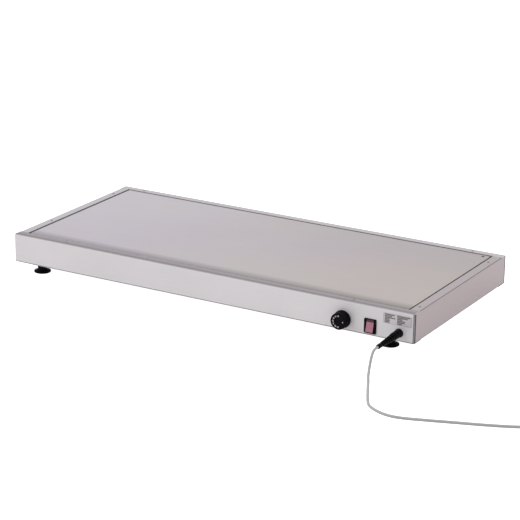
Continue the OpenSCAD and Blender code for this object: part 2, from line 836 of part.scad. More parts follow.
housing_t = 24; // depth of the housing behind the panel's face
rocker_half = 13.3; // half the height of the rocker
mouth_h = 2 * (rocker_half + 1.1);
mouth_w = rocker_w + 0.8;
mouth_t = 15; // depth of the housing's mouth behind the bezel
rocker_face = 3.9; // from the rocker's pivot to the ends of its face
rocker_dish = 0.5; // how much the face is hollowed at the middle
rocker_back = 8; // how far the rocker reaches behind its pivot
rocker_back_half = 6;
axle_r = 1.5;
axle_l = 1.2; // how far the rocker's pins reach into the housing
pivot_y = front_y + 0.3;
pivot_z = base_z + switch_z;

module switch_housing() {
    color(black) translate([rocker_x, 0, pivot_z]) difference() {
        union() {
            translate([0, front_y, 0]) rotate([90, 0, 0]) linear_extrude(bezel_t)
                rounded_2d(bezel_w, bezel_h, 2.5);
            translate([-housing_w / 2, front_y - eps, -housing_h / 2])
                cube([housing_w, housing_t + eps, housing_h]);
        }
        translate([-mouth_w / 2, front_y - bezel_t - eps, -mouth_h / 2])
            cube([mouth_w, bezel_t + mouth_t, mouth_h]);
        translate([-mouth_w / 2 - axle_l - 0.1, pivot_y, 0]) rotate([0, 90, 0])
            cylinder(r = axle_r + running, h = mouth_w + 2 * (axle_l + 0.1), $fn = 32);
    }
}

tab_dx = 5;
tab_dz = 8;

module switch_tabs() {
    color(brass) for (sx = [-1, 1]) for (sz = [-1, 1])
        translate([rocker_x + sx * tab_dx - 0.4, front_y + housing_t, pivot_z + sz * tab_dz - 2.4])
            cube([0.8, tab_l, 4.8]);
}

// The rocker turns about two pins. At rest its upper end is pressed in.
module switch_rocker() {
    color([0.62, 0.10, 0.18]) translate([rocker_x, pivot_y, pivot_z])
        rotate([-rocker_throw / 2, 0, 0]) {
            rotate([90, 0, 90]) translate([0, 0, -rocker_w / 2]) linear_extrude(rocker_w)
                polygon([
                    [-rocker_face + rocker_dish, 0], [-rocker_face, rocker_half],
                    [0, rocker_half - 0.6], [rocker_back, rocker_back_half],
                    [rocker_back, -rocker_back_half], [0, -rocker_half + 0.6],
                    [-rocker_face, -rocker_half]]);
            translate([-rocker_w / 2 - axle_l - 0.3, 0, 0]) rotate([0, 90, 0])
                cylinder(r = axle_r, h = rocker_w + 2 * (axle_l + 0.3), $fn = 32);
        }
}

// ---------------------------------------------------------------- cord entry and wiring

neck_l = 10;
gland_nut_t = 5;
gland_nut_r = 11.5;
relief_body = 30; // length of the strain relief's smooth part
relief_ribs = 6;
relief_pitch = 8;
relief_tip_r = 4.9;

// A rib's radius, falling along the strain relief
function rib_r(k) = relief_r - 1.2 - (relief_r - 1.2 - relief_tip_r - 0.4) * k / (relief_ribs - 1);

module strain_relief() {
    ribs_end = relief_body + relief_ribs * relief_pitch;
    color(black) translate([cord_x, front_y, base_z + gland_z]) rotate([90, 0, 0]) {
        translate([0, 0, -sheet - neck_l]) cylinder(r = relief_neck_r, h = sheet + neck_l + eps);
        rotate_extrude() polygon([
            [0, 0], [relief_r + 1, 0], [relief_r + 1, 2], [relief_r, 3], [relief_r, relief_body - 4],
            [relief_r - 1, relief_body],
            for (k = [0:relief_ribs - 1]) each [
                [rib_r(k) - 1.6, relief_body + k * relief_pitch + 1],
                [rib_r(k) - 1.6, relief_body + k * relief_pitch + 3.5],
                [rib_r(k), relief_body + k * relief_pitch + 4.5],
                [rib_r(k), relief_body + (k + 1) * relief_pitch - 1]],
            [relief_tip_r - 0.9, ribs_end + 1], [relief_tip_r - 0.9, ribs_end + 4],
            [relief_tip_r, ribs_end + 5], [relief_tip_r, relief_l - 1],
            [relief_tip_r - 1, relief_l], [0, relief_l]]);
    }
}

module gland_nut() {
    color(black) translate([cord_x, front_y + sheet, base_z + gland_z]) rotate([-90, 0, 0])
        difference() {
            cylinder(r = gland_nut_r, h = gland_nut_t, $fn = 6);
            translate([0, 0, -eps])
                cylinder(r = relief_neck_r + running, h = gland_nut_t + 2 * eps);
        }
}

function unit(v) = v / norm(v);
function tangent(path, i) = unit(path[min(i + 1, len(path) - 1)] - path[max(i - 1, 0)]);
function square_to(v, t) = unit(v - (v * t) * t);

// One cross direction for each point of a path, turned no more than the path turns
function sides_of(path, first) = [
    for (i = 0, u = square_to(first, tangent(path, 0)); i < len(path);
            i = i + 1, u = square_to(u, tangent(path, min(i, len(path) - 1)))) u];

// A point of a smooth curve through a route, a share t of the way from point i to the next
function between(route, i, t) =
    let (a = route[max(i - 1, 0)], b = route[i], c = route[i + 1],
        d = route[min(i + 2, len(route) - 1)])
    0.5 * (2 * b + (c - a) * t + (2 * a - 5 * b + 4 * c - d) * t * t
        + (3 * b - a - 3 * c + d) * t * t * t);

// The smooth curve, with a point about every step millimetres
function smooth(route, step) = [
    for (i = [0:len(route) - 2])
        let (n = max(1, round(norm(route[i + 1] - route[i]) / step)))
            for (k = [0:n - 1]) between(route, i, k / n),
    route[len(route) - 1]];

// A round tube swept along a path, with flat ends square to it
module tube(path, radius, sides, first = [0, 0, 1]) {
    n = len(path);
    across = sides_of(path, first);
    points = [for (i = [0:n - 1])
        let (t = tangent(path, i), v = cross(t, across[i]))
            for (k = [0:sides - 1])
                path[i] + radius * (cos(360 * k / sides) * across[i] + sin(360 * k / sides) * v)];
    walls = [for (i = [0:n - 2]) for (k = [0:sides - 1])
        let (a = i * sides + k, b = i * sides + (k + 1) % sides)
            for (f = [[a, a + sides, b + sides], [a, b + sides, b]]) f];
    near = [for (k = [1:sides - 2]) [0, k, k + 1]];
    far = [for (k = [1:sides - 2]) [(n - 1) * sides, (n - 1) * sides + k + 1, (n - 1) * sides + k]];
    polyhedron(points = points, faces = concat(walls, near, far));
}

// Wire routes, from the middle of the case, the front panel's face and the bottom of the case
wire_r = 1.3;
wire_y = sheet + neck_l; // where the cores leave the strain relief
switch_back = housing_t + tab_l;
thermo_back = sheet + thermo_t + tab_l;
element_up = element_z - base_z;
pin_x = element_half + cold_l + bush_l + pin_l;
tab_left = rocker_x - tab_dx;
tab_right = rocker_x + tab_dx;
tab_low = switch_z - tab_dz;
tab_high = switch_z + tab_dz;
dial_tab = thermo_tabs_x[1];

function placed(route) = [for (p = route) [p[0], front_y + p[1], base_z + p[2]]];
function depth(y) = y - front_y;

// Supply to the switch, switch to the thermostat, and thermostat to the element's front end
live_in = [
    [cord_x - 3, wire_y, gland_z + 2], [cord_x - 3, wire_y + 4, gland_z + 2],
    [cord_x - 8, wire_y + 22, gland_z + 8], [cord_x - 32, wire_y + 34, gland_z + 10],
    [tab_right + 12, switch_back + 18, switch_z], [tab_right + 2, switch_back + 11, tab_low + 1.5],
    [tab_right, switch_back + 6, tab_low], [tab_right, switch_back, tab_low]];
live_link = [
    [tab_right, switch_back, tab_high], [tab_right, switch_back + 4, tab_high],
    [tab_right - 1, switch_back + 8, tab_high - 1],
    [tab_right - 6, switch_back + 15, tab_high - 4.5],
    [tab_left - 10, switch_back + 22, switch_z + 1.5], [dial_x + 29, thermo_back + 19, knob_z],
    [dial_x + dial_tab + 3, thermo_back + 9, knob_z], [dial_x + dial_tab, thermo_back + 5, knob_z],
    [dial_x + dial_tab, thermo_back, knob_z]];
live_out = [
    [dial_x - dial_tab, thermo_back, knob_z], [dial_x - dial_tab, thermo_back + 8, knob_z],
    [dial_x + 10, wire_hole_in, knob_z + 10], [tab_left - 9, wire_hole_in, knob_z + 16],
    [tab_left, wire_hole_in, element_up - 18], [tab_left, wire_hole_in + 2, element_up - 8],
    [tab_left + 21, wire_hole_in + 18, element_up - 1],
    [pin_x + 12, depth(run_y(0)) - 16, element_up], [pin_x + 8, depth(run_y(0)), element_up],
    [pin_x, depth(run_y(0)), element_up]];

// Supply to the switch, and switch to the element's back end
neutral_in = [
    [cord_x, wire_y, gland_z - 3.2], [cord_x, wire_y + 4, gland_z - 3.2],
    [cord_x - 12, wire_y + 16, gland_z], [cord_x - 32, wire_y + 27, gland_z - 4],
    [tab_right + 14, switch_back + 14, tab_low - 6], [tab_right + 5, switch_back + 20, tab_low - 7],
    [tab_left + 2, switch_back + 14, tab_low - 3], [tab_left, switch_back + 8, tab_low],
    [tab_left, switch_back, tab_low]];
neutral_out = [
    [tab_left, switch_back, tab_high], [tab_left, switch_back + 4, tab_high],
    [tab_left + 3, switch_back + 10, tab_high + 9], [tab_left + 16, switch_back + 22, tab_high + 13],
    [wire_holes_x[2], wire_hole_in, element_up - 16],
    [wire_holes_x[2], wire_hole_in + 1, element_up - 8], [pin_x + 22, wire_hole_in + 24, element_up],
    [pin_x + 24, depth(run_y(1)), element_up], [pin_x + 24, depth(run_y(2)), element_up],
    [pin_x + 16, depth(run_y(3)) - 6, element_up], [pin_x + 6, depth(run_y(3)), element_up],
    [pin_x, depth(run_y(3)), element_up]];

// Supply to the earth stud
earth_x = end_x - earth_in;
earth_ring_r = 4.5;
earth_run = [
    [cord_x + 3, wire_y, gland_z + 2], [cord_x + 3, wire_y + 4, gland_z + 2],
    [cord_x + 7, wire_y + 16, gland_z - 4], [earth_x, depth(earth_y) - 14, sheet + 4.5],
    [earth_x, depth(earth_y) - 8, sheet + 4.2],
    [earth_x, depth(earth_y) - earth_ring_r - 0.1, sheet + 4.2]];

// Thermostat to the bulb: up through its hole, under the element's first run, then up beside it
capillary_x = wire_holes_x[0];
capillary_low = element_up - element_r - 2.5;
bulb_up = bulb_z - base_z;
bulb_end = bulb_x + bulb_l / 2;
thermo_up = knob_z + thermo_h / 2;
capillary_drop = 4.3; // from the frame's ledge down to the run under it
capillary_run = ledge_low - base_z - capillary_drop;
capillary_rise = capillary_run - thermo_up;
capillary = [
    [capillary_x, sheet + 12, thermo_up], [capillary_x, sheet + 12, thermo_up + 0.4 * capillary_rise],
    [capillary_x, sheet + 19, thermo_up + 0.93 * capillary_rise],
    [capillary_x, sheet + 33, capillary_run], [capillary_x, wire_hole_in - 12, capillary_run],
    [capillary_x, wire_hole_in, capillary_low - 2.2],
    [capillary_x - 2, wire_hole_in + 12, capillary_low],
    [capillary_x - 5, depth(run_y(0)) - 15, capillary_low],
    [capillary_x - 10, depth(run_y(0)), capillary_low],
    [capillary_x - 15, depth(run_y(0)) + 11, capillary_low + 1.8],
    [capillary_x - 23, depth(bulb_y) - 15, bulb_up - 0.7],
    [capillary_x - 39, depth(bulb_y) - 3, bulb_up], [bulb_end + 34, depth(bulb_y), bulb_up],
    [bulb_end + 16, depth(bulb_y), bulb_up], [bulb_end, depth(bulb_y), bulb_up]];

module live_wires() {
    color([0.45, 0.28, 0.16]) for (route = [live_in, live_link, live_out])
        tube(smooth(placed(route), 7), wire_r, 8, [1, 0, 1]);
}

module neutral_wires() {
    color([0.20, 0.35, 0.65]) for (route = [neutral_in, neutral_out])
        tube(smooth(placed(route), 8), wire_r, 8, [1, 0, 1]);
}

module earth_wire() {
    color([0.55, 0.66, 0.20]) tube(smooth(placed(earth_run), 6), wire_r, 8, [1, 0, 1]);
}

earth_stud_l = 14;
earth_ring_h = 6; // the ring terminal and the washers under the nut

// Stud with a ring terminal and a nut, which earths the case
module earth_stud() {
    color(brass) translate([earth_x, earth_y, base_z]) {
        cylinder(r = earth_r, h = earth_stud_l, $fn = 24);
        translate([0, 0, sheet]) cylinder(r = earth_ring_r, h = earth_ring_h, $fn = 32);
        translate([0, 0, sheet + earth_ring_h - eps])
            cylinder(r = small_nut_r, h = strap_nut_h, $fn = 6);
    }
}

capillary_r = 0.8;

module capillary_tube() {
    color([0.72, 0.45, 0.30]) tube(smooth(placed(capillary), 9), capillary_r, 8, [1, 0, 0.2]);
}

// ---------------------------------------------------------------- supply cord

// The free cord's route, from where it leaves the strain relief. It drops to the floor, runs
// forwards, sweeps round to the right, and lifts a little to meet the coil.
cord_exit = [cord_x, front_y - relief_l, base_z + gland_z];
cord_route = [
    [0, 0, 0], [0, -8, 0], [0.6, -16, -1], [1.6, -24, -4.5], [2.7, -30.5, -10],
    [3.5, -35.5, -16.5], [4.4, -40, -23], [6.2, -46, -29], [9, -53, -32.8],
    [12.6, -61, -34], [18, -73, -34], [30, -96, -34], [53, -142, -34], [76, -186, -34],
    [90, -206, -34], [113, -221, -34], [140, -229, -34], [168, -227, -34],
    [214, -212, -34], [264, -194, -34], [314, -176, -34], [360, -157, -34],
    [394, -140, -33.5], [414, -130, -33], [430, -118, -33]];
cord_step = 16; // distance between two rings of the cord

module mains_cord() {
    color([0.66, 0.65, 0.65])
        tube(smooth([for (p = cord_route) cord_exit + p], cord_step), cord_r, 10);
}

// The coil: a spiral in and out again in two layers, wound anticlockwise
coil_from = cord_exit + cord_route[len(cord_route) - 1];
coil_way = unit(cord_route[len(cord_route) - 1] - cord_route[len(cord_route) - 2]);
coil_lead = 2 * cord_r; // straight length at each end of the coil
coil_enter = coil_from + coil_lead * coil_way;
coil_left = [-coil_way[1], coil_way[0], 0];
coil_centre = coil_enter + coil_r * coil_left;
coil_start = atan2(-coil_left[1], -coil_left[0]);
turn_step = 2 * cord_r + turn_gap;
coil_rings = 24; // rings in one turn

// How far the coil has climbed at turn s, from 0 on the lower layer to 1 on the upper one
function climbed(s) =
    let (t = min(1, max(0, (s - coil_turns / 2 + 0.25) / 0.5))) t * t * (3 - 2 * t);

function coil_point(s) =
    let (r = coil_r - turn_step * min(s, coil_turns - s), a = coil_start + 360 * s)
    coil_centre + [r * cos(a), r * sin(a), turn_step * climbed(s)];

tail_l = 34; // length from the last turn to the plug's sleeve
coil_out_way = let (a = coil_start + 360 * coil_turns) [-sin(a), cos(a), 0];
coil_leave = coil_point(coil_turns);
plug_at = [coil_leave[0], coil_leave[1], 0] + tail_l * coil_out_way + [0, 0, plug_r];
tail_rise = plug_at[2] - coil_leave[2];
// The tail lifts from the upper layer to the plug's axis in a smooth step
tail = [for (k = [1:6])
    let (t = k / 6)
        coil_leave + t * (tail_l - coil_lead) * coil_out_way
            + [0, 0, tail_rise * t * t * (3 - 2 * t)]];
coil_path = concat(
    [coil_from],
    [for (k = [0:round(coil_turns * coil_rings)]) coil_point(k / coil_rings)],
    tail,
    [plug_at]);

// The least gap between two parts of the coil that lie more than half a turn apart
coil_gap = min([for (i = [0:len(coil_path) - 1]) for (j = [i + coil_rings / 2:len(coil_path) - 1])
    norm(coil_path[i] - coil_path[j])]) - 2 * cord_r;
echo(coil_gap = coil_gap);

module cord_coil() {
    color([0.66, 0.65, 0.65]) tube(coil_path, cord_r, 6);
}

tie_w = 6;
tie_play = 0.5;

// A band round all the turns holds the coil
module coil_tie() {
    low = coil_r - turn_step * coil_turns / 2 - cord_r - tie_play;
    high = coil_r + cord_r + tie_play;
    top = coil_from[2] + turn_step + cord_r + 0.2;
    color([0.12, 0.12, 0.13])
        translate([coil_centre[0], coil_centre[1], 0]) rotate([0, 0, coil_start + 180])
            difference() {
                translate([low - tie_t, -tie_w / 2, 0])
                    cube([high - low + 2 * tie_t, tie_w, top + tie_t]);
                translate([low, -tie_w / 2 - eps, tie_t])
                    cube([high - low, tie_w + 2 * eps, top - tie_t]);
            }
}

plug_sleeve = 20;
plug_grip = 24;
plug_disc = 15;
plug_pin_r = 2.4;
plug_pin_l = 19;
plug_pin_half = 9.5;

// Everything on the plug's axis, which points the way that the tail runs
module along_plug() {
    translate(plug_at) rotate([0, 0, atan2(coil_out_way[1], coil_out_way[0])]) rotate([0, 90, 0])
        children();
}

module plug_body() {
    grip_end = plug_sleeve + plug_grip;
    color([0.62, 0.61, 0.61]) along_plug() rotate_extrude($fn = 64) polygon([
        [0, 0], [cord_r + 1.2, 0], [cord_r + 2.2, plug_sleeve - 6], [cord_r + 4.5, plug_sleeve],
        [plug_r - 5.5, plug_sleeve + 6], [plug_r - 4.5, grip_end - 6], [plug_r - 2, grip_end],
        [plug_r, grip_end + 1.5], [plug_r, grip_end + plug_disc - 1],
        [plug_r - 1, grip_end + plug_disc], [0, grip_end + plug_disc]]);
}

module plug_pins() {
    color(brass) along_plug() for (side = [-1, 1])
        translate([0, side * plug_pin_half, plug_sleeve + plug_grip + plug_disc]) {
            cylinder(r = plug_pin_r, h = plug_pin_l - 1, $fn = 32);
            translate([0, 0, plug_pin_l - 1 - eps])
                cylinder(r1 = plug_pin_r, r2 = plug_pin_r - 0.8, h = 1, $fn = 32);
        }
}

front_panel();
back_panel();
left_side_panel();
right_side_panel();
corner_brackets();
rim_rivets();
plate_frame();
plate_gasket();
heating_plate();
plate_screw();
heating_element();
element_terminals();
element_straps();
strap_nuts();
sensor_bulb();
bulb_clip();
capillary_tube();
shield_pan();
pan_screws();
insulation_blanket();
bottom_cover();
cover_screws();
foot_nuts();
front_left_foot();
front_left_stud();
front_right_foot();
front_right_stud();
rear_left_foot();
rear_left_stud();
rear_right_foot();
rear_right_stud();
thermostat_body();
thermostat_screws();
thermostat_tabs();
dial_shaft();
dial_knob();
switch_housing();
switch_tabs();
switch_rocker();
gland_nut();
live_wires();
neutral_wires();
earth_wire();
earth_stud();
rating_plate();
strain_relief();
mains_cord();
cord_coil();
coil_tie();
plug_body();
plug_pins();
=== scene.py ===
# Electric food warmer tray: a folded steel case round a heated plate, on four levelling feet, with
# a dial, a rocker switch and a supply cord. Metres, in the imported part's own frame: the front
# faces -Y, and the table under the feet is z = 0.
import math

import bmesh
import bpy
from mathutils import Matrix, Vector, noise


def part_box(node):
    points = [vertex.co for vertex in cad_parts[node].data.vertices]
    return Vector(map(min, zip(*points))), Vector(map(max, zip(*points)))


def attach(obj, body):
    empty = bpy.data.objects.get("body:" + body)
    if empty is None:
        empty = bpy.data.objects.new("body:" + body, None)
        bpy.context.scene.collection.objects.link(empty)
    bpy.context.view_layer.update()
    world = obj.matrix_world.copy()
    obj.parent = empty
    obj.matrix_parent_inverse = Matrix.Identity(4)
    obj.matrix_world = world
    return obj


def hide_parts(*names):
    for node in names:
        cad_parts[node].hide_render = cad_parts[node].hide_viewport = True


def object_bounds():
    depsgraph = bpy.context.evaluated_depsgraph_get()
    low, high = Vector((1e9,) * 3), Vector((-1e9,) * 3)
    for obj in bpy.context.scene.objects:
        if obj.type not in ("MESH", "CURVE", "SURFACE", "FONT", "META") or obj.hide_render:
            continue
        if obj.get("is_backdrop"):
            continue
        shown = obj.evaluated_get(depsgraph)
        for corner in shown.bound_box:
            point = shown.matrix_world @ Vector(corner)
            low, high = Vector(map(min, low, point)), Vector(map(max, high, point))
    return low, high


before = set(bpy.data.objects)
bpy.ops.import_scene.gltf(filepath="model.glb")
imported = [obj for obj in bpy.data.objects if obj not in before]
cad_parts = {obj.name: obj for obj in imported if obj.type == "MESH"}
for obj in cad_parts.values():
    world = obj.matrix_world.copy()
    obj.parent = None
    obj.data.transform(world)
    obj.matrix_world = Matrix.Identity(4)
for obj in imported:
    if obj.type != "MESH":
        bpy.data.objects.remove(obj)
cad_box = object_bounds()

# ---- camera
# The tray was photographed with a long lens from off its front right corner, a little above.
# The case's visible edges and the controls fix the place and the angles.
photo_px = 520
camera_at = Vector((2.2153, -3.8053, 1.5223))
azimuth, elevation, roll = (math.radians(a) for a in (30.056, 18.490, 0.681))
focal_px = 2089.9

back = Vector((math.sin(azimuth) * math.cos(elevation), -math.cos(azimuth) * math.cos(elevation),
               math.sin(elevation)))
level = Vector((math.cos(azimuth), math.sin(azimuth), 0))
upright = back.cross(level)
right = level * math.cos(roll) + upright * math.sin(roll)
up = upright * math.cos(roll) - level * math.sin(roll)


def stand(name, data):
    """A new object in the scene"""
    made = bpy.data.objects.new(name, data)
    bpy.context.scene.collection.objects.link(made)
    return made


camera = stand("camera", bpy.data.cameras.new("camera"))
camera.data.sensor_width = 36
camera.data.lens = focal_px / photo_px * camera.data.sensor_width
camera.data.clip_end = 50
turned = Matrix((right, up, back)).transposed().to_4x4()
camera.matrix_world = Matrix.Translation(camera_at) @ turned
bpy.context.scene.camera = camera

# ---- studio
# A white table in a white room, lit by two large soft boxes. What sees the room straight or
# mirrored sees plain white. The table looks white too, and a little darker in the steel.
room_glow = 0.62
white_seen = 1.0
table_half = 9.0
table_tones = (0.84, 0.88)
table_lift_seen = 0.95
table_lift_mirrored = 0.55
soft_boxes = {"soft_box_left": ((-2.6, -2.2, 2.9), 2.4, 62.0),
              "soft_box_high": ((0.9, 0.6, 3.4), 2.8, 26.0)}


def place(tree, kind, inputs=None, **settings):
    """A node of this kind, with its settings made and its inputs given a value or a link"""
    made = tree.nodes.new(kind)
    for name, value in settings.items():
        setattr(made, name, value)
    for name, value in (inputs or {}).items():
        if isinstance(value, bpy.types.NodeSocket):
            tree.links.new(value, made.inputs[name])
        else:
            made.inputs[name].default_value = value
    return made


def reckon(tree, operation, *values, **settings):
    """What a math node of this operation makes of its values"""
    return place(tree, "ShaderNodeMath", dict(enumerate(values)), operation=operation,
                 **settings).outputs[0]


def ranged(tree, value, low=0.0, high=1.0, to_low=0.0, to_high=1.0):
    """A value carried from the range low to high over to another one, and held at its ends"""
    return place(tree, "ShaderNodeMapRange",
                 {"Value": value, "From Min": low, "From Max": high, "To Min": to_low,
                  "To Max": to_high}).outputs[0]


def straight_or_mirrored(tree):
    """1 for a ray that comes from the camera, a mirror or glass, and 0 for the rest"""
    rays = place(tree, "ShaderNodeLightPath").outputs
    seen = reckon(tree, "MAXIMUM", rays["Is Camera Ray"], rays["Is Glossy Ray"])
    return reckon(tree, "MAXIMUM", seen, rays["Is Transmission Ray"])


bpy.context.scene.view_settings.view_transform = "Standard"

room = bpy.data.worlds.new("white_room")
room.use_nodes = True
bpy.context.scene.world = room
tree = room.node_tree
glow = ranged(tree, straight_or_mirrored(tree), to_low=room_glow, to_high=white_seen)
tree.links.new(glow, tree.nodes["Background"].inputs["Strength"])
tree.nodes["Background"].inputs["Color"].default_value = (1, 1, 1, 1)

for name, (at, size, power) in soft_boxes.items():
    lamp = bpy.data.lights.new(name, "AREA")
    lamp.shape = "SQUARE"
    lamp.size = size
    lamp.energy = power
    box = stand(name, lamp)
    box.location = at
    box.rotation_euler = (Vector((0, 0, 0)) - Vector(at)).to_track_quat("-Z", "Y").to_euler()

table_mesh = bpy.data.meshes.new("table")
table_mesh.from_pydata([(-table_half, -table_half, 0), (table_half, -table_half, 0),
                        (table_half, table_half, 0), (-table_half, table_half, 0)],
                       [], [(0, 1, 2, 3)])
table = stand("table", table_mesh)
white_top = bpy.data.materials.new("white_table")
white_top.use_nodes = True
tree = white_top.node_tree
tree.nodes.remove(tree.nodes["Principled BSDF"])
grain = place(tree, "ShaderNodeTexNoise", {"Scale": 9.0, "Detail": 4.0})
paint = ranged(tree, grain.outputs["Fac"], to_low=table_tones[0], to_high=table_tones[1])
matt = place(tree, "ShaderNodeBsdfDiffuse", {"Color": paint})
from_camera = place(tree, "ShaderNodeLightPath").outputs["Is Camera Ray"]
glowing = ranged(tree, from_camera, to_low=table_lift_mirrored, to_high=table_lift_seen)
lift = reckon(tree, "MULTIPLY", straight_or_mirrored(tree), glowing)
shine = place(tree, "ShaderNodeEmission", {"Strength": lift})
both = place(tree, "ShaderNodeAddShader", {0: matt.outputs[0], 1: shine.outputs[0]})
tree.links.new(both.outputs[0], tree.nodes["Material Output"].inputs["Surface"])
table_mesh.materials.append(white_top)
table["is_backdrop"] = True

# ---- case
# Four panels of folded 1.2 mm stainless sheet with a brushed finish, riveted to the frame and
# bracketed at the corners. The grain runs along each panel. Light and shade are painted into the
# steel: the front is lighter and the right end darker as the light falls on them, the right end's
# top strip lighter and the front's top strip darker, and painted shade lies on the folds, along
# the foot, along the front fold, down the front's right end, beside the upright seam and in the
# open seam round the plate.
# Lit and shaded copies of one steel: the front's tones are painted light, the right end's are
# painted shade, and the back and left lie between them.
front_lit_tone = ((0.596, 0.571, 0.586), (0.687, 0.662, 0.678))
rim_tone = ((0.468, 0.444, 0.464), (0.538, 0.514, 0.536))
end_shaded_tone = ((0.321, 0.274, 0.284), (0.370, 0.318, 0.329))
# Painted light: the right end's top strip is made lighter.
end_strip_lit_tone = (1.21, 1.27, 1.26)
# Painted shade on the folds of the case.
fold_shade_tone = (0.48, 0.46, 0.47)
# Painted shade inside the open seam round the plate, on the rim's inner fold and lip.
seam_shade_tone = (0.36, 0.34, 0.35)
seam_round = 0.0017 # how far the painted shade of the seam reaches on to the rim's fold
# Painted shade: the front's top strip is made darker than its lit face.
front_strip_shade_tone = (0.567, 0.549, 0.558)
# Painted shade along the front fold.
front_lip_shade_tone = (0.80, 0.79, 0.80)
front_lip_shade_w = 0.010 # width of the stripe of painted shade along the front fold
# Painted shade down the front panel's right end, beside the open seam.
front_end_shade_tone = (0.33, 0.31, 0.32)
front_end_shade_w = 0.0030 # width of the painted shade down the front panel's right end
front_mirror = 0.45 # share of the front's look that mirrors what stands round it
# Painted shade along the downward-facing fold at the foot of the panels, where the steel is also
# made to mirror less.
foot_shade_tone = (0.34, 0.31, 0.32)
foot_shade_h = 0.0024 # height of the painted shade along the fold at the foot of the panels
# Painted shade beside the upright seam at the front of the right end.
open_seam_shade_tone = (0.22, 0.20, 0.21)
open_seam_shade_w = 0.0028 # how far the upright seam's painted shade reaches on to the end panel
past_edge = 0.001 # how far a band reaches past the edge of its panel
along_x, along_y, upward = (1, 0, 0), (0, 1, 0), (0, 0, 1)
to_front = (0, -1, 0)


def group(name, inputs, outputs):
    """An empty shader node group with these inputs, given as (name, type, value), and outputs.
    With it come its given sockets, the piece's coordinates, and the sockets to put out."""
    made = bpy.data.node_groups.new(name, "ShaderNodeTree")
    for socket, kind, value in inputs:
        made.interface.new_socket(socket, in_out="INPUT",
                                  socket_type="NodeSocket" + kind).default_value = value
    for socket in outputs:
        made.interface.new_socket(socket, in_out="OUTPUT", socket_type="NodeSocketFloat")
    return (made, made.nodes.new("NodeGroupInput").outputs,
            place(made, "ShaderNodeTexCoord").outputs, made.nodes.new("NodeGroupOutput").inputs)


def dotted(tree, vector, way):
    """How far a vector reaches along a way"""
    return place(tree, "ShaderNodeVectorMath", {0: vector, 1: way},
                 operation="DOT_PRODUCT").outputs["Value"]


# Grain: noise drawn out by Stretch, which is how many times it repeats in a metre along X, Y
# and Z. Grain is that noise, and Blotch is a broad soft one.
grain_group, given, where, out = group(
    "grain", [("Stretch", "Vector", (400, 400, 400)), ("Detail", "Float", 3.0),
              ("Blotches", "Float", 8.0)], ["Grain", "Blotch"])
drawn = place(grain_group, "ShaderNodeVectorMath", {0: where["Object"], 1: given["Stretch"]},
              operation="MULTIPLY")
fine = place(grain_group, "ShaderNodeTexNoise", {"Vector": drawn.outputs[0], "Scale": 1.0,
                                                 "Detail": given["Detail"], "Roughness": 0.6})
broad = place(grain_group, "ShaderNodeTexNoise",
              {"Vector": where["Object"], "Scale": given["Blotches"], "Detail": 2.0})
for name, pattern in (("Grain", fine), ("Blotch", broad)):
    grain_group.links.new(ranged(grain_group, pattern.outputs["Fac"], 0.3, 0.7), out[name])

# Bends: 0 on a flat face and 1 half way round a fold or a rounded edge
bend_group, given, where, out = group("bends", [], ["Bend"])
slopes = place(bend_group, "ShaderNodeVectorMath", {0: where["Normal"]}, operation="ABSOLUTE")
parts = place(bend_group, "ShaderNodeSeparateXYZ", {0: slopes.outputs[0]}).outputs
most = reckon(bend_group, "MAXIMUM", parts[0], parts[1])
most = reckon(bend_group, "MAXIMUM", most, parts[2])
bend_group.links.new(ranged(bend_group, most, 1.0, 0.75), out["Bend"])

# Facing: 1 on faces that look along Way, and 0 on the others
facing_group, given, where, out = group("facing", [("Way", "Vector", (0, 0, 1))], ["Share"])
ahead = dotted(facing_group, where["Normal"], given["Way"])
facing_group.links.new(reckon(facing_group, "GREATER_THAN", ahead, 0.9), out["Share"])

# Between: 1 within Half of Middle along Axis, and 0 beyond it
between_group, given, where, out = group(
    "between", [("Axis", "Vector", (1, 0, 0)), ("Middle", "Float", 0.0), ("Half", "Float", 1.0)],
    ["Share"])
along = dotted(between_group, where["Object"], given["Axis"])
near = reckon(between_group, "COMPARE", along, given["Middle"], given["Half"])
between_group.links.new(near, out["Share"])

# Patches: 1 in scattered patches, Scale of them to a metre, where a noise is above High
patch_group, given, where, out = group(
    "patches", [("Scale", "Float", 10.0), ("Low", "Float", 0.52), ("High", "Float", 0.62)],
    ["Share"])
cloud = place(patch_group, "ShaderNodeTexNoise",
              {"Vector": where["Object"], "Scale": given["Scale"], "Detail": 3.0})
spread = ranged(patch_group, cloud.outputs["Fac"], given["Low"], given["High"])
patch_group.links.new(spread, out["Share"])


def look_of(material):
    """The inputs of a finish's main shader"""
    return material.node_tree.nodes["Principled BSDF"].inputs


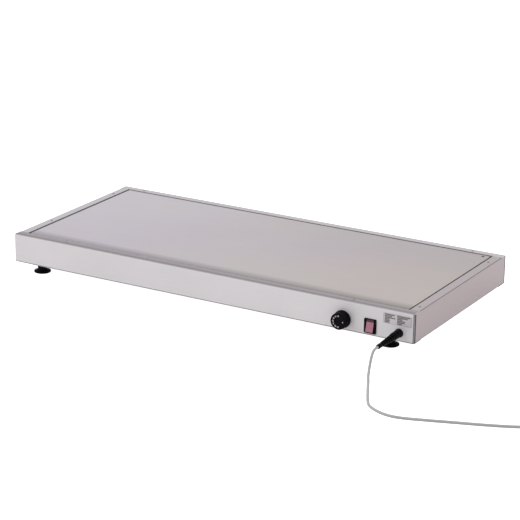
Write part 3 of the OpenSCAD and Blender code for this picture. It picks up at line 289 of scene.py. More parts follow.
def surface(name, tones, stretch, roughness, relief, metallic=0.0, specular=0.5, detail=3.0,
            blotches=8.0, mottle=0.35):
    """A finish whose colour, roughness and relief follow its grain. stretch is one number for
    a grain that is the same all ways. tones and roughness are (low, high), relief is in metres,
    and mottle is the share of the broad blotches."""
    made = bpy.data.materials.new(name)
    made.use_nodes = True
    tree, look = made.node_tree, look_of(made)
    look["Metallic"].default_value = metallic
    look["Specular IOR Level"].default_value = specular
    if isinstance(stretch, int):
        stretch = (stretch, stretch, stretch)
    grain = place(tree, "ShaderNodeGroup", {"Stretch": stretch, "Detail": detail,
                                            "Blotches": blotches}, node_tree=grain_group).outputs
    mixed = place(tree, "ShaderNodeMix",
                  {"Factor": mottle, "A": grain["Grain"], "B": grain["Blotch"]})
    colour = place(tree, "ShaderNodeMix", {"Factor": mixed.outputs[0]}, data_type="RGBA")
    colour.inputs[6].default_value = (*tones[0], 1)
    colour.inputs[7].default_value = (*tones[1], 1)
    tree.links.new(colour.outputs[2], look["Base Color"])
    rough = ranged(tree, mixed.outputs[0], to_low=roughness[0], to_high=roughness[1])
    tree.links.new(rough, look["Roughness"])
    bump = place(tree, "ShaderNodeBump", {"Height": grain["Grain"], "Distance": relief})
    tree.links.new(bump.outputs[0], look["Normal"])
    return made


def toned(material, share, tone, blend="MULTIPLY"):
    """Lays another tone over a finish, by a share that changes over the surface"""
    tree, look = material.node_tree, look_of(material)
    under = look["Base Color"].links[0].from_socket
    over = place(tree, "ShaderNodeMix", {"Factor": share, 6: under}, data_type="RGBA",
                 blend_type=blend)
    over.inputs[7].default_value = (*tone, 1)
    tree.links.new(over.outputs[2], look["Base Color"])
    return material


def share_of(material, pattern, **inputs):
    """The share that one of the groups above puts out on a finish"""
    return place(material.node_tree, "ShaderNodeGroup", inputs, node_tree=pattern).outputs[0]


def toned_by(material, pattern, tone, **inputs):
    """Lays another tone over a finish, by the share that one of the groups above puts out"""
    return toned(material, share_of(material, pattern, **inputs), tone)


def facing(material, way):
    """1 on faces that look along way, and 0 on the others"""
    return share_of(material, facing_group, Way=way)


def between(material, axis, low, high):
    """1 from low to high along an axis, and 0 beyond them"""
    return share_of(material, between_group, Axis=axis, Middle=(low + high) / 2,
                    Half=(high - low) / 2)


def both_of(material, one, other):
    """1 where both shares are"""
    return reckon(material.node_tree, "MULTIPLY", one, other)


def band(material, way, axis, low, high):
    """1 on faces that look along way, from low to high along an axis, and 0 elsewhere"""
    return both_of(material, facing(material, way), between(material, axis, low, high))


def brushed(name, along, tones, roughness=(0.34, 0.46), mirror=1.0):
    """Brushed stainless sheet with its grain along X or Y, with painted shade on its folds, along
    the fold at its foot and inside the seam round the plate. Mirror is the share of its look that
    mirrors what stands round it."""
    stretch = (14, 1500, 1500) if along == "X" else (1500, 14, 1500)
    made = surface(name, tones, stretch, roughness, 0.000006, metallic=1.0, blotches=5.0,
                   mottle=0.4)
    toned_by(made, bend_group, fold_shade_tone)
    # Painted shade along the fold at the foot, where the steel mirrors less
    foot_shade = between(made, upward, case_low.z - past_edge, case_low.z + foot_shade_h)
    toned(made, foot_shade, foot_shade_tone, "MIX")
    bright = reckon(made.node_tree, "SUBTRACT", mirror, foot_shade, use_clamp=True)
    look_of(made)["Specular IOR Level"].default_value = 0.0
    made.node_tree.links.new(bright, look_of(made)["Metallic"])
    # Painted shade inside the seam round the plate
    seam = both_of(made, between(made, along_x, *seam_x), between(made, along_y, *seam_y))
    return toned(made, seam, seam_shade_tone)


def finished(mesh, material):
    """The mesh in one finish"""
    mesh.materials.clear()
    mesh.materials.append(material)
    return mesh


def dress(node_name, material):
    """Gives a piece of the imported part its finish"""
    finished(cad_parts[node_name].data, material)


case_low, case_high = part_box("front_panel")[0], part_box("back_panel")[1]
rim_w = 0.0225
seam_x = (case_low.x + rim_w - seam_round, case_high.x - rim_w + seam_round)
seam_y = (case_low.y + rim_w - seam_round, case_high.y - rim_w + seam_round)
front_steel = brushed("front_steel", "X", front_lit_tone, (0.56, 0.68), front_mirror)
# Painted shade down the front's right end
toned(front_steel, band(front_steel, to_front, along_x, case_high.x - front_end_shade_w,
                        case_high.x + past_edge), front_end_shade_tone)
# Painted shade on the front's top strip
toned(front_steel, facing(front_steel, upward), front_strip_shade_tone)
toned(front_steel, band(front_steel, upward, along_y, case_low.y, case_low.y + front_lip_shade_w),
      front_lip_shade_tone)
end_steel = brushed("end_steel", "Y", end_shaded_tone)
# Painted light on the right end's top strip
toned(end_steel, facing(end_steel, upward), end_strip_lit_tone)
dress("front_panel", front_steel)
dress("back_panel", brushed("back_steel", "X", rim_tone))
dress("left_side_panel", brushed("left_steel", "Y", rim_tone))
seam_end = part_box("right_side_panel")[0].y
# Painted shade beside the upright seam
toned(end_steel, between(end_steel, along_y, seam_end - past_edge, seam_end + open_seam_shade_w),
      open_seam_shade_tone)
dress("right_side_panel", end_steel)

# ---- brackets
# Angle brackets of steel inside the upright corners, coloured near black as painted shade. They
# show as the dark line behind the open seam beside the front panel.
# Near-black steel: painted shade for the dark line behind the seam.
shaded_steel = surface("shaded_steel", ((0.030, 0.026, 0.027), (0.055, 0.048, 0.050)),
                       300, (0.55, 0.75), 0.00002, metallic=0.4, blotches=30.0)
dress("corner_brackets", shaded_steel)

# ---- rivets
# Domed blind rivets through the rim, which hold the plate's frame up under it. Their dull heads
# show as small marks round the top, with the end of the broken stem in the middle of each.
rivet_head = 0.0030
rivet_rise = 0.0008
rivet_shank = 0.0019
soft_angle = math.radians(32)


def as_mesh(name, shape, weighted=False):
    """A mesh from the shape, smooth where it bends little. Weighted keeps wide flats flat."""
    mesh = bpy.data.meshes.new(name)
    shape.to_mesh(mesh)
    shape.free()
    mesh.shade_smooth()
    mesh.set_sharp_from_angle(angle=soft_angle)
    if weighted:
        mesh = changed(mesh, "WEIGHTED_NORMAL", keep_sharp=True)
    return mesh


def changed(mesh, kind, **settings):
    """The mesh with one modifier applied"""
    holder = stand(mesh.name, mesh)
    modifier = holder.modifiers.new(kind, kind)
    for name, value in settings.items():
        setattr(modifier, name, value)
    return frozen(holder)


def frozen(holder):
    """The plain mesh that an object's modifiers make of it. The object is taken away."""
    holder.update_tag()
    bpy.context.view_layer.update()
    ready = bpy.context.evaluated_depsgraph_get()
    mesh = bpy.data.meshes.new_from_object(holder.evaluated_get(ready), depsgraph=ready)
    mesh.name = holder.name
    bpy.data.objects.remove(holder)
    return mesh


def skinned(name, rings, closed=False):
    """A body through rings of points, where a ring of one point closes an end. A closed one
    joins its last ring to its first."""
    shape = bmesh.new()
    rings = [[shape.verts.new(point) for point in ring] for ring in rings]
    count = max(len(ring) for ring in rings)
    for low, high in zip(rings, rings[1:] + rings[:1] if closed else rings[1:]):
        for k in range(count):
            corners = [low[k % len(low)], low[(k + 1) % len(low)],
                       high[(k + 1) % len(high)], high[k % len(high)]]
            corners = list(dict.fromkeys(corners))
            if len(corners) > 2:
                shape.faces.new(corners)
    bmesh.ops.recalc_face_normals(shape, faces=shape.faces)
    return as_mesh(name, shape)


def circle(radius, z, steps=48, shaped=None):
    """A ring of points about the Z axis, or the one point on it where the radius is 0. shaped
    may change the ring's radius by its height and the angle."""
    if radius == 0:
        return [(0, 0, z)]
    ring = []
    for k in range(steps):
        angle = math.tau * k / steps
        reach = shaped(radius, z, angle) if shaped else radius
        ring.append((reach * math.cos(angle), reach * math.sin(angle), z))
    return ring


def lathe(name, profile, steps, closed=False, shaped=None):
    """A round body about the Z axis from (radius, height) pairs"""
    rings = [circle(radius, height, steps, shaped) for radius, height in profile]
    return skinned(name, rings, closed)


def piece(name, mesh, body, material=None, stands_for=()):
    """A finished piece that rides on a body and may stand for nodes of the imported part"""
    made = stand(name, mesh)
    if material:
        finished(mesh, material)
    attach(made, body)
    if stands_for:
        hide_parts(*stands_for)
    return made


def merged(node_name):
    """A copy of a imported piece's shape with its corners joined up"""
    shape = bmesh.new()
    shape.from_mesh(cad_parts[node_name].data)
    bmesh.ops.remove_doubles(shape, verts=shape.verts, dist=0.00001)
    bmesh.ops.dissolve_limit(shape, angle_limit=math.radians(0.5), verts=shape.verts,
                             edges=shape.edges)
    return shape


def spots(node_name, z_of):
    """The middle of each separate solid of a node, at the height that z_of makes of its span"""
    shape = merged(node_name)
    left, found = set(shape.verts), []
    while left:
        island, edge = set(), [left.pop()]
        while edge:
            vert = edge.pop()
            island.add(vert)
            near = {e.other_vert(vert) for e in vert.link_edges} & left
            left -= near
            edge += near
        xs, ys, zs = zip(*(v.co for v in island))
        found.append(((min(xs) + max(xs)) / 2, (min(ys) + max(ys)) / 2, z_of(min(zs), max(zs))))
    shape.free()
    return sorted(found)


def geometry(name, inputs, output):
    """An empty geometry node group with these inputs, given as (name, type), and its output"""
    made = bpy.data.node_groups.new(name, "GeometryNodeTree")
    for socket, kind in inputs:
        made.interface.new_socket(socket, in_out="INPUT", socket_type="NodeSocket" + kind)
    made.interface.new_socket(output, in_out="OUTPUT", socket_type="NodeSocketGeometry")
    return made, made.nodes.new("NodeGroupInput").outputs


def put_out(tree, given, one, on_points):
    """Puts out a real copy of one object on each point, in the given finish"""
    one = place(tree, "GeometryNodeObjectInfo", {"Object": one})
    copies = place(tree, "GeometryNodeInstanceOnPoints",
                   {"Instance": one.outputs["Geometry"], **on_points})
    solid = place(tree, "GeometryNodeRealizeInstances", {0: copies.outputs[0]})
    coated = place(tree, "GeometryNodeSetMaterial",
                   {"Geometry": solid.outputs[0], "Material": given["Finish"]})
    tree.links.new(coated.outputs[0], tree.nodes.new("NodeGroupOutput").inputs[0])


# Geometry nodes: one fastener on each point, turned by chance, in one finish
fastener_tree, given = geometry(
    "fasteners_on_points", [("Points", "Geometry"), ("Fastener", "Object"), ("Seed", "Int"),
                            ("Finish", "Material")], "Fasteners")
chance = place(fastener_tree, "FunctionNodeRandomValue", {3: math.tau, "Seed": given["Seed"]},
               data_type="FLOAT")
turn = place(fastener_tree, "ShaderNodeCombineXYZ", {"Z": chance.outputs[1]})
put_out(fastener_tree, given, given["Fastener"],
        {"Points": given["Points"], "Rotation": turn.outputs[0]})


def grown(name, tree, start, inputs):
    """The plain mesh that a geometry tree makes from a start mesh and its named inputs. An
    input that is a mesh is handed over as an object of its own."""
    holder = stand(name, start)
    grow = holder.modifiers.new(tree.name, "NODES")
    grow.node_group = tree
    patterns = []
    for socket in tree.interface.items_tree:
        if socket.in_out != "INPUT" or socket.name not in inputs:
            continue
        value = inputs[socket.name]
        if isinstance(value, bpy.types.Mesh):
            value = stand(value.name, value)
            patterns.append(value)
        grow[socket.identifier] = value
    mesh = frozen(holder)
    for pattern in patterns:
        bpy.data.objects.remove(pattern)
    return mesh


def fasteners(name, one_mesh, node_name, z_of, finish, seed):
    """Stands a detailed fastener in the place of each solid of a node"""
    points = bpy.data.meshes.new(name + "_points")
    points.from_pydata(spots(node_name, z_of), [], [])
    mesh = grown(name, fastener_tree, points,
                 {"Fastener": one_mesh, "Seed": seed, "Finish": finish})
    return piece(name, mesh, "case", stands_for=[node_name])


zinc = surface("zinc_plate", ((0.30, 0.30, 0.315), (0.44, 0.44, 0.46)), 700,
               (0.28, 0.42), 0.000012, metallic=1.0, blotches=160.0)
dulled_zinc = surface("dulled_zinc", ((0.16, 0.155, 0.16), (0.24, 0.235, 0.24)),
                      700, (0.35, 0.55), 0.00001, metallic=1.0, blotches=200.0)
rim_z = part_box("front_panel")[1].z
rivet_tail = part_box("rim_rivets")[0].z - rim_z
rivet = lathe("rivet", [
    (0, rivet_rise * 0.72), (rivet_head * 0.28, rivet_rise * 0.72),
    (rivet_head * 0.34, rivet_rise), (rivet_head * 0.70, rivet_rise * 0.85),
    (rivet_head * 0.92, rivet_rise * 0.45), (rivet_head, 0), (rivet_shank, 0),
    (rivet_shank, rivet_tail * 0.64), (rivet_head * 0.94, rivet_tail * 0.70),
    (rivet_head * 0.86, rivet_tail * 0.96), (0, rivet_tail)], 24)
fasteners("rivets", rivet, "rim_rivets", lambda low, high: rim_z, dulled_zinc, 3)

# ---- frame
# Welded frame of Z-section mild steel that hangs from the rim. Its ledge carries the gasket, the
# plate and the heat shield. Heat has left it brown in patches.
frame_steel = surface("frame_steel", ((0.15, 0.145, 0.145), (0.26, 0.25, 0.25)),
                      (120, 120, 500), (0.42, 0.60), 0.00002, metallic=1.0, blotches=18.0,
                      mottle=0.6)
heat_brown = (0.62, 0.52, 0.42)
toned_by(frame_steel, patch_group, heat_brown, Scale=14.0)
dress("plate_frame", frame_steel)

# ---- gasket
# Flat woven tape of heat-proof fibre, laid round the frame's ledge under the plate's skirt. It is
# held by the plate's weight and its one screw.
tape_pitch = 0.0009
tape_edge = 0.0004
tape_relief = 0.0002
tape_gap_tone = (0.45, 0.42, 0.36)

# Weave: two sets of threads at right angles. Height is their relief and Gap the shade between.
weave_group, given, where, out = group("weave", [("Pitch", "Float", 0.001)], ["Height", "Gap"])
parts = place(weave_group, "ShaderNodeSeparateXYZ", {0: where["Object"]}).outputs
turns = reckon(weave_group, "DIVIDE", math.pi, given["Pitch"])
threads = [reckon(weave_group, "SINE", reckon(weave_group, "MULTIPLY", parts[axis], turns))
           for axis in (0, 1)]
relief = reckon(weave_group, "ABSOLUTE", reckon(weave_group, "MULTIPLY", *threads))
weave_group.links.new(relief, out["Height"])
weave_group.links.new(ranged(weave_group, relief, 0.35, 0.0), out["Gap"])

fibre_tape = surface("fibre_tape", ((0.56, 0.53, 0.45), (0.70, 0.67, 0.58)), 900,
                     (0.80, 0.95), 0.00003, specular=0.2, blotches=40.0)
weave = place(fibre_tape.node_tree, "ShaderNodeGroup", {"Pitch": tape_pitch},
              node_tree=weave_group)
toned(fibre_tape, weave.outputs["Gap"], tape_gap_tone)
woven = place(fibre_tape.node_tree, "ShaderNodeBump",
              {"Height": weave.outputs["Height"], "Distance": tape_relief})
fibre_tape.node_tree.links.new(woven.outputs[0], look_of(fibre_tape)["Normal"])


def rounded(name, node_name, body, material, offset, segments=3,
            wanted=lambda edge: True):
    """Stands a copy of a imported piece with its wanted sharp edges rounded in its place"""
    shape = merged(node_name)
    sharp = [e for e in shape.edges
             if len(e.link_faces) == 2 and e.calc_face_angle() > soft_angle and wanted(e)]
    bmesh.ops.bevel(shape, geom=sharp, offset=offset, segments=segments, profile=0.5,
                    affect="EDGES", clamp_overlap=True)
    return piece(name, as_mesh(name, shape, True), body, material, [node_name])


rounded("gasket_tape", "plate_gasket", "case", fibre_tape, tape_edge)

# ---- plate
# Tray of stainless sheet, folded down all round and heated from below. It is brushed along its
# length, and its top edge is the rounded outside of the fold.
plate_tone = ((0.415, 0.388, 0.403), (0.500, 0.472, 0.490))
# Painted reflections: the plate is lighter towards its left end, warmer and darker towards its
# right, and darker and cooler over its far right part.
plate_left_reflection_tone = (1.15, 1.155, 1.25)
plate_right_reflection_tone = (1.01, 0.945, 0.915)
# Painted shade along the plate's front edge.
plate_front_shade_tone = (0.58, 0.57, 0.58)
plate_far_reflection_tone = (0.91, 0.925, 0.955)
# Painted shade on the plate's folds.
plate_fold_shade_tone = (0.66, 0.65, 0.66)
warm_patch = (1.02, 1.0, 0.975)
cool_patch = (0.955, 0.995, 0.965)
plate_front_shade_w = 0.030 # width of the band of painted shade along the plate's front edge
far_start, far_full = -0.15, 0.10 # where along X the far part's painted reflection begins, and where it is full
far_y = -0.05 # where along Y it begins
plate_edge = 0.0014
plate_corner = 0.0035
plate_steel = surface("plate_steel", plate_tone, (9, 900, 900), (0.36, 0.44), 0.000005,
                      metallic=1.0, blotches=3.0, mottle=0.45)
toned_by(plate_steel, bend_group, plate_fold_shade_tone)
plate_low, plate_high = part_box("heating_plate")


def where_in(tree):
    """Where a point lies in its piece"""
    return place(tree, "ShaderNodeTexCoord").outputs["Object"]


def coordinate(material, axis):
    """Where a point lies along axis 0 for X or 1 for Y"""
    tree = material.node_tree
    return place(tree, "ShaderNodeSeparateXYZ", {0: where_in(tree)}).outputs[axis]


def rising(axis, start, end):
    """A share on the plate that rises evenly from 0 at start to 1 at end"""
    return ranged(plate_steel.node_tree, coordinate(plate_steel, axis), start, end)


toned_by(plate_steel, patch_group, warm_patch, Scale=5.0, Low=0.40, High=0.62)
toned_by(plate_steel, patch_group, cool_patch, Scale=3.0, Low=0.42, High=0.64)
# Painted reflections laid on by place along the plate
toned(plate_steel, rising(0, plate_high.x, plate_low.x), plate_left_reflection_tone)
toned(plate_steel, rising(0, plate_low.x, plate_high.x), plate_right_reflection_tone)
toned(plate_steel, rising(1, plate_low.y + plate_front_shade_w, plate_low.y), plate_front_shade_tone)
toned(plate_steel, both_of(plate_steel, rising(0, far_start, far_full),
                           rising(1, far_y, plate_high.y)), plate_far_reflection_tone)


def round_the_top(edge):
    """True for the edges of the plate's outline at its top"""
    return all(abs(v.co.z - plate_high.z) < 0.00005
               and (abs(v.co.x) > plate_high.x - plate_corner
                    or v.co.y > plate_high.y - plate_corner
                    or v.co.y < plate_low.y + plate_corner) for v in edge.verts)


rounded("warming_plate", "heating_plate", "case", plate_steel, plate_edge, 4,
        round_the_top)

# ---- plate screw
# Sunk cross-head screw near the plate's back right corner, with a nut under the ledge. Its head
# lies a hair below the plate's face.
sunk_screw_r = 0.0020
sunk_head_r = 0.0035
sunk_head_t = 0.0013
# The screw is made nearly black all over.
burnt_zinc = surface("burnt_zinc", ((0.022, 0.018, 0.018), (0.042, 0.036, 0.036)),
                     700, (0.35, 0.55), 0.00001, metallic=1.0, blotches=200.0)
small_nut_flats = 0.0069
nut_h = 0.0032


def cross_cut(mesh, top, depth, span, width):
    """The mesh with a cross-shaped recess, span wide, cut into its top"""
    shape = bmesh.new()
    outline = []
    for quarter in range(4):
        spin = Matrix.Rotation(quarter * math.pi / 2, 3, "Z")
        for x, y in ((span / 2, -width / 2), (span / 2, width / 2), (width / 2, width / 2)):
            outline.append(spin @ Vector((x, y, 0)))
    rings = [[shape.verts.new((p.x * s, p.y * s, z)) for p in outline]
             for s, z in ((0.45, top - depth), (1.0, top + 0.001))]
    for k in range(12):
        shape.faces.new([rings[0][k], rings[0][(k + 1) % 12], rings[1][(k + 1) % 12],
                         rings[1][k]])
    shape.faces.new(rings[0][::-1])
    shape.faces.new(rings[1])
    bmesh.ops.recalc_face_normals(shape, faces=shape.faces)
    cutter = stand("cutter", as_mesh("cutter", shape))
    made = changed(mesh, "BOOLEAN", operation="DIFFERENCE", solver="EXACT", object=cutter)
    bpy.data.objects.remove(cutter)
    return made


def hex_rings(flats, low, high, chamfer=0.96):
    """The rings of a hexagon with its corners turned off, from low to high"""
    rings = [[], [], [], []]
    for k in range(48):
        angle = math.tau * k / 48
        reach = flats / 2 / math.cos((angle + math.pi / 6) % (math.pi / 3) - math.pi / 6)
        turned = flats / math.sqrt(3) * chamfer
        off = max(0, reach - turned) * math.tan(math.pi / 6)
        for ring, (r, z) in zip(rings, ((min(reach, turned), low), (reach, low + off),
                                        (reach, high - off), (min(reach, turned), high))):
            ring.append((r * math.cos(angle), r * math.sin(angle), z))
    return rings


screw_at = Vector(spots("plate_screw", lambda low, high: high)[0])
ledge_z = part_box("plate_frame")[0].z
tip_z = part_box("plate_screw")[0].z
sunk = skinned("sunk_screw", [
    circle(0, screw_at.z), circle(sunk_head_r, screw_at.z),
    circle(sunk_screw_r, screw_at.z - sunk_head_t), circle(sunk_screw_r, ledge_z),
    *hex_rings(small_nut_flats, ledge_z, ledge_z - nut_h), circle(sunk_screw_r, ledge_z - nut_h),
    circle(sunk_screw_r, tip_z + 0.0004), circle(sunk_screw_r * 0.8, tip_z), circle(0, tip_z)])
sunk = cross_cut(sunk, screw_at.z, depth=0.0009, span=0.0042, width=0.0010)
sunk.transform(Matrix.Translation((screw_at.x, screw_at.y, 0)))
piece("sunk_screw", sunk, "case", burnt_zinc, ["plate_screw"])

# ---- element
# Tubular heating element: a steel sheath bent into four runs, blue and straw with heat, with a
# ceramic bush and a brass pin at each cold end. Zinc-plated straps clamp it under the plate.
sheath = surface("element_sheath", ((0.050, 0.045, 0.042), (0.105, 0.095, 0.088)),
                 (60, 500, 500), (0.45, 0.65), 0.00002, metallic=0.7, blotches=25.0, mottle=0.6)
heat_blue = (0.75, 0.85, 1.35)
heat_straw = (1.5, 1.1, 0.65)
toned_by(sheath, patch_group, heat_blue, Scale=9.0)
toned_by(sheath, patch_group, heat_straw, Scale=6.0, Low=0.56, High=0.66)
dress("heating_element", sheath)

bush_l = 0.007
bush_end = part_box("element_terminals")[0].x + bush_l
brass_tone = (0.46, 0.33, 0.13)
terminal = surface("bush_and_pin", ((0.70, 0.67, 0.58), (0.80, 0.77, 0.69)), 700,
                   (0.40, 0.60), 0.00001, blotches=90.0)
beyond = reckon(terminal.node_tree, "GREATER_THAN", coordinate(terminal, 0), bush_end)
toned(terminal, beyond, brass_tone, "MIX")
terminal.node_tree.links.new(beyond, look_of(terminal)["Metallic"])
dress("element_terminals", terminal)
dress("element_straps", zinc)

nut_bore_r = 0.00205


def hex_nut(name, bore_r, flats, height):
    """A hexagon nut that stands on z = 0"""
    return skinned(name, [circle(bore_r, 0), *hex_rings(flats, 0, height),
                          circle(bore_r, height)], closed=True)


nut = hex_nut("nut", nut_bore_r, small_nut_flats, nut_h)
fasteners("strap_nuts_pressed", nut, "strap_nuts", lambda low, high: low, zinc, 5)

# ---- sensor
# Copper bulb of the thermostat, crimped at both ends and held up to the plate by a welded clip.
# A hair-thin capillary runs from it to the thermostat.
copper = surface("copper", ((0.44, 0.19, 0.10), (0.60, 0.29, 0.17)), (200, 600, 600),
                 (0.30, 0.48), 0.00001, metallic=1.0, blotches=50.0, mottle=0.5)
tarnish = (0.55, 0.45, 0.42)
toned_by(copper, patch_group, tarnish, Scale=40.0, Low=0.55, High=0.7)


def middle(node_name):
    """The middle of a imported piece's box"""
    low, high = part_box(node_name)
    return [(a + b) / 2 for a, b in zip(low, high)]


bulb_low, bulb_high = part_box("sensor_bulb")
bulb_r = (bulb_high.y - bulb_low.y) / 2
bulb_l = bulb_high.x - bulb_low.x
bulb = lathe("bulb", [(0, 0), (bulb_r * 0.45, 0), (bulb_r * 0.55, 0.002), (bulb_r * 0.85, 0.0045),
                      (bulb_r, 0.007), (bulb_r, bulb_l - 0.006),
                      (bulb_r * 0.8, bulb_l - 0.0035), (bulb_r * 0.42, bulb_l - 0.0018),
                      (bulb_r * 0.36, bulb_l), (0, bulb_l)], 32)
bulb.transform(Matrix.Translation((bulb_low.x, *middle("sensor_bulb")[1:]))
               @ Matrix.Rotation(math.pi / 2, 4, "Y"))
piece("bulb", bulb, "case", copper, ["sensor_bulb"])
dress("bulb_clip", zinc)
dress("capillary_tube", copper)

# ---- heat shield
# Pan of thin mill-finish aluminium under the element, folded up at its sides. Its flange is
# screwed up to the ledge of the frame all round.
aluminium = surface("mill_aluminium", ((0.50, 0.51, 0.52), (0.60, 0.61, 0.62)), (20, 700, 700),
                    (0.30, 0.44), 0.000008, metallic=1.0, blotches=6.0)
# Painted shade on the pan's folds.
pan_fold_shade_tone = (0.8, 0.8, 0.8)
toned_by(aluminium, bend_group, pan_fold_shade_tone)
dress("shield_pan", aluminium)
pan_head_r = 0.0030
pan_head_t = 0.0020
pan_screw_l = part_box("pan_screws")[1].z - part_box("pan_screws")[0].z - pan_head_t


def head_down(name, head_r, head_t, shank_r, shank_l):
    """A cross-head screw driven from below, with the underside of its head at z = head_t"""
    profile = [(0, 0), (head_r * 0.55, head_t * 0.04), (head_r * 0.85, head_t * 0.22),
               (head_r, head_t * 0.62), (head_r, head_t), (shank_r, head_t),
               (shank_r, head_t + shank_l * 0.85), (shank_r * 0.4, head_t + shank_l),
               (0, head_t + shank_l)]
    mesh = lathe(name, [(r, -z) for r, z in profile], 32)
    mesh = cross_cut(mesh, 0, head_t * 0.6, head_r * 1.15, head_r * 0.28)
    mesh.transform(Matrix.Rotation(math.pi, 4, "X"))
    return mesh


pan_screw = head_down("pan_screw", pan_head_r, pan_head_t, shank_r=0.0015, shank_l=pan_screw_l)
fasteners("shield_screws", pan_screw, "pan_screws", lambda low, high: low, zinc, 7)

# ---- insulation
# Blanket of glass wool that keeps the heat up. It lies loose in the pan, with soft uneven edges
# and a lumpy top.
wool = surface("glass_wool", ((0.60, 0.52, 0.28), (0.82, 0.75, 0.50)), (260, 420, 300),
               (0.88, 1.0), 0.0006, specular=0.1, detail=6.0, blotches=16.0, mottle=0.45)
wool_cell = 0.006
wool_edge = 0.011
wool_sunk = 0.001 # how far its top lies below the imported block's
wool_lumps = ((0.0016, 24, 0), (0.0007, 90, 3)) # height, number to a metre, layer of the noise
lump_room = 0.0018 # how far below its top the lumps' mean lies
wool_low, wool_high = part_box("insulation_blanket")
wool_high.z -= wool_sunk
columns = round((wool_high.x - wool_low.x) / wool_cell)
rows = round((wool_high.y - wool_low.y) / wool_cell)


def wool_point(i, j, top):
    """A point of the blanket's top or bottom, rounded at its edges and lumpy on top"""
    x = wool_low.x + (wool_high.x - wool_low.x) * i / columns
    y = wool_low.y + (wool_high.y - wool_low.y) * j / rows
    inside = min(x - wool_low.x, wool_high.x - x, y - wool_low.y, wool_high.y - y)
    fullness = math.sqrt(1 - (1 - min(1, inside / wool_edge)) ** 2)
    half = (wool_high.z - wool_low.z) / 2
    if not top:
        return (x, y, wool_low.z + half * (1 - fullness))
    lumps = sum(height * noise.noise(Vector((x * number, y * number, layer)))
                for height, number, layer in wool_lumps)
    return (x, y, wool_low.z + half + (half - lump_room + lumps) * fullness)


shape = bmesh.new()
upper = [[shape.verts.new(wool_point(i, j, True)) for j in range(rows + 1)]
         for i in range(columns + 1)]
lower = [[upper[i][j] if i in (0, columns) or j in (0, rows)
          else shape.verts.new(wool_point(i, j, False)) for j in range(rows + 1)]
         for i in range(columns + 1)]
for sheet in (upper, lower):
    for i in range(columns):
        for j in range(rows):
            corners = [sheet[i][j], sheet[i + 1][j], sheet[i + 1][j + 1], sheet[i][j + 1]]
            if sheet is upper or any(v not in upper[i][j:j + 2] + upper[i + 1][j:j + 2]
                                     for v in corners):
                shape.faces.new(corners)
bmesh.ops.recalc_face_normals(shape, faces=shape.faces)
blanket = piece("wool_blanket", as_mesh("wool_blanket", shape), "case", wool,
                ["insulation_blanket"])

# ---- bottom cover
# Galvanised sheet with rows of pressed vent slots, held by ten cross-head screws. The zinc shows
# its frost-like crystals.
galvanised = surface("galvanised", ((0.34, 0.345, 0.355), (0.46, 0.465, 0.475)),
                     300, (0.32, 0.48), 0.000008, metallic=1.0, blotches=12.0)
crystals = place(galvanised.node_tree, "ShaderNodeTexVoronoi",
                 {"Vector": where_in(galvanised.node_tree), "Scale": 95.0, "Randomness": 1.0})
shade = place(galvanised.node_tree, "ShaderNodeSeparateXYZ", {0: crystals.outputs["Color"]})
crystal_tone = (0.74, 0.75, 0.77)
toned(galvanised, shade.outputs[0], crystal_tone)
dress("bottom_cover", galvanised)
cover_head_r = 0.0034
cover_head_t = 0.0018
cover_screw_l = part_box("cover_screws")[1].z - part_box("cover_screws")[0].z - cover_head_t
cover_screw = head_down("cover_screw", cover_head_r, cover_head_t, shank_r=0.00175,
                        shank_l=cover_screw_l)
fasteners("bottom_screws", cover_screw, "cover_screws", lambda low, high: low, zinc,
          11)

# ---- feet
# Levelling feet: a black moulded base and neck round a threaded stud, screwed up into a nut that
# is welded on the case's bottom flange.
rubber = surface("black_rubber", ((0.0018, 0.0013, 0.0020), (0.0036, 0.0028, 0.0040)),
                 900, (0.34, 0.48), 0.00002, specular=0.04, blotches=60.0)
neck_r = 0.0105
stud_r = 0.0040
stud_pitch = 0.00125
stud_depth = 0.0006
bore = stud_r + 0.00005
foot_nut_flats = 0.0129
foot_nut_low, foot_nut_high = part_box("foot_nuts")
foot_nut = hex_nut("foot_nut", bore, foot_nut_flats, foot_nut_high.z - foot_nut_low.z)
fasteners("welded_nuts", foot_nut, "foot_nuts", lambda low, high: low, zinc, 0)


def threaded(name, radius, pitch, depth, low, high, steps=24):
    """A threaded rod with turned-down ends"""
    rings = [circle(0, low)]
    count = round((high - low) / (pitch / 4))
    for i in range(count + 1):
        z = low + (high - low) * i / count
        ends = min(z - low, high - z)
        ring = []
        for k in range(steps):
            phase = (z / pitch - k / steps) % 1
            r = radius - depth * (1 - abs(2 * phase - 1))
            r = min(r, radius - depth * 1.3 + ends)
            ring.append((r * math.cos(math.tau * k / steps), r * math.sin(math.tau * k / steps),
                         z))
        rings.append(ring)
    rings.append(circle(0, high))
    mesh = skinned(name, rings)
    mesh.shade_smooth()
    return mesh


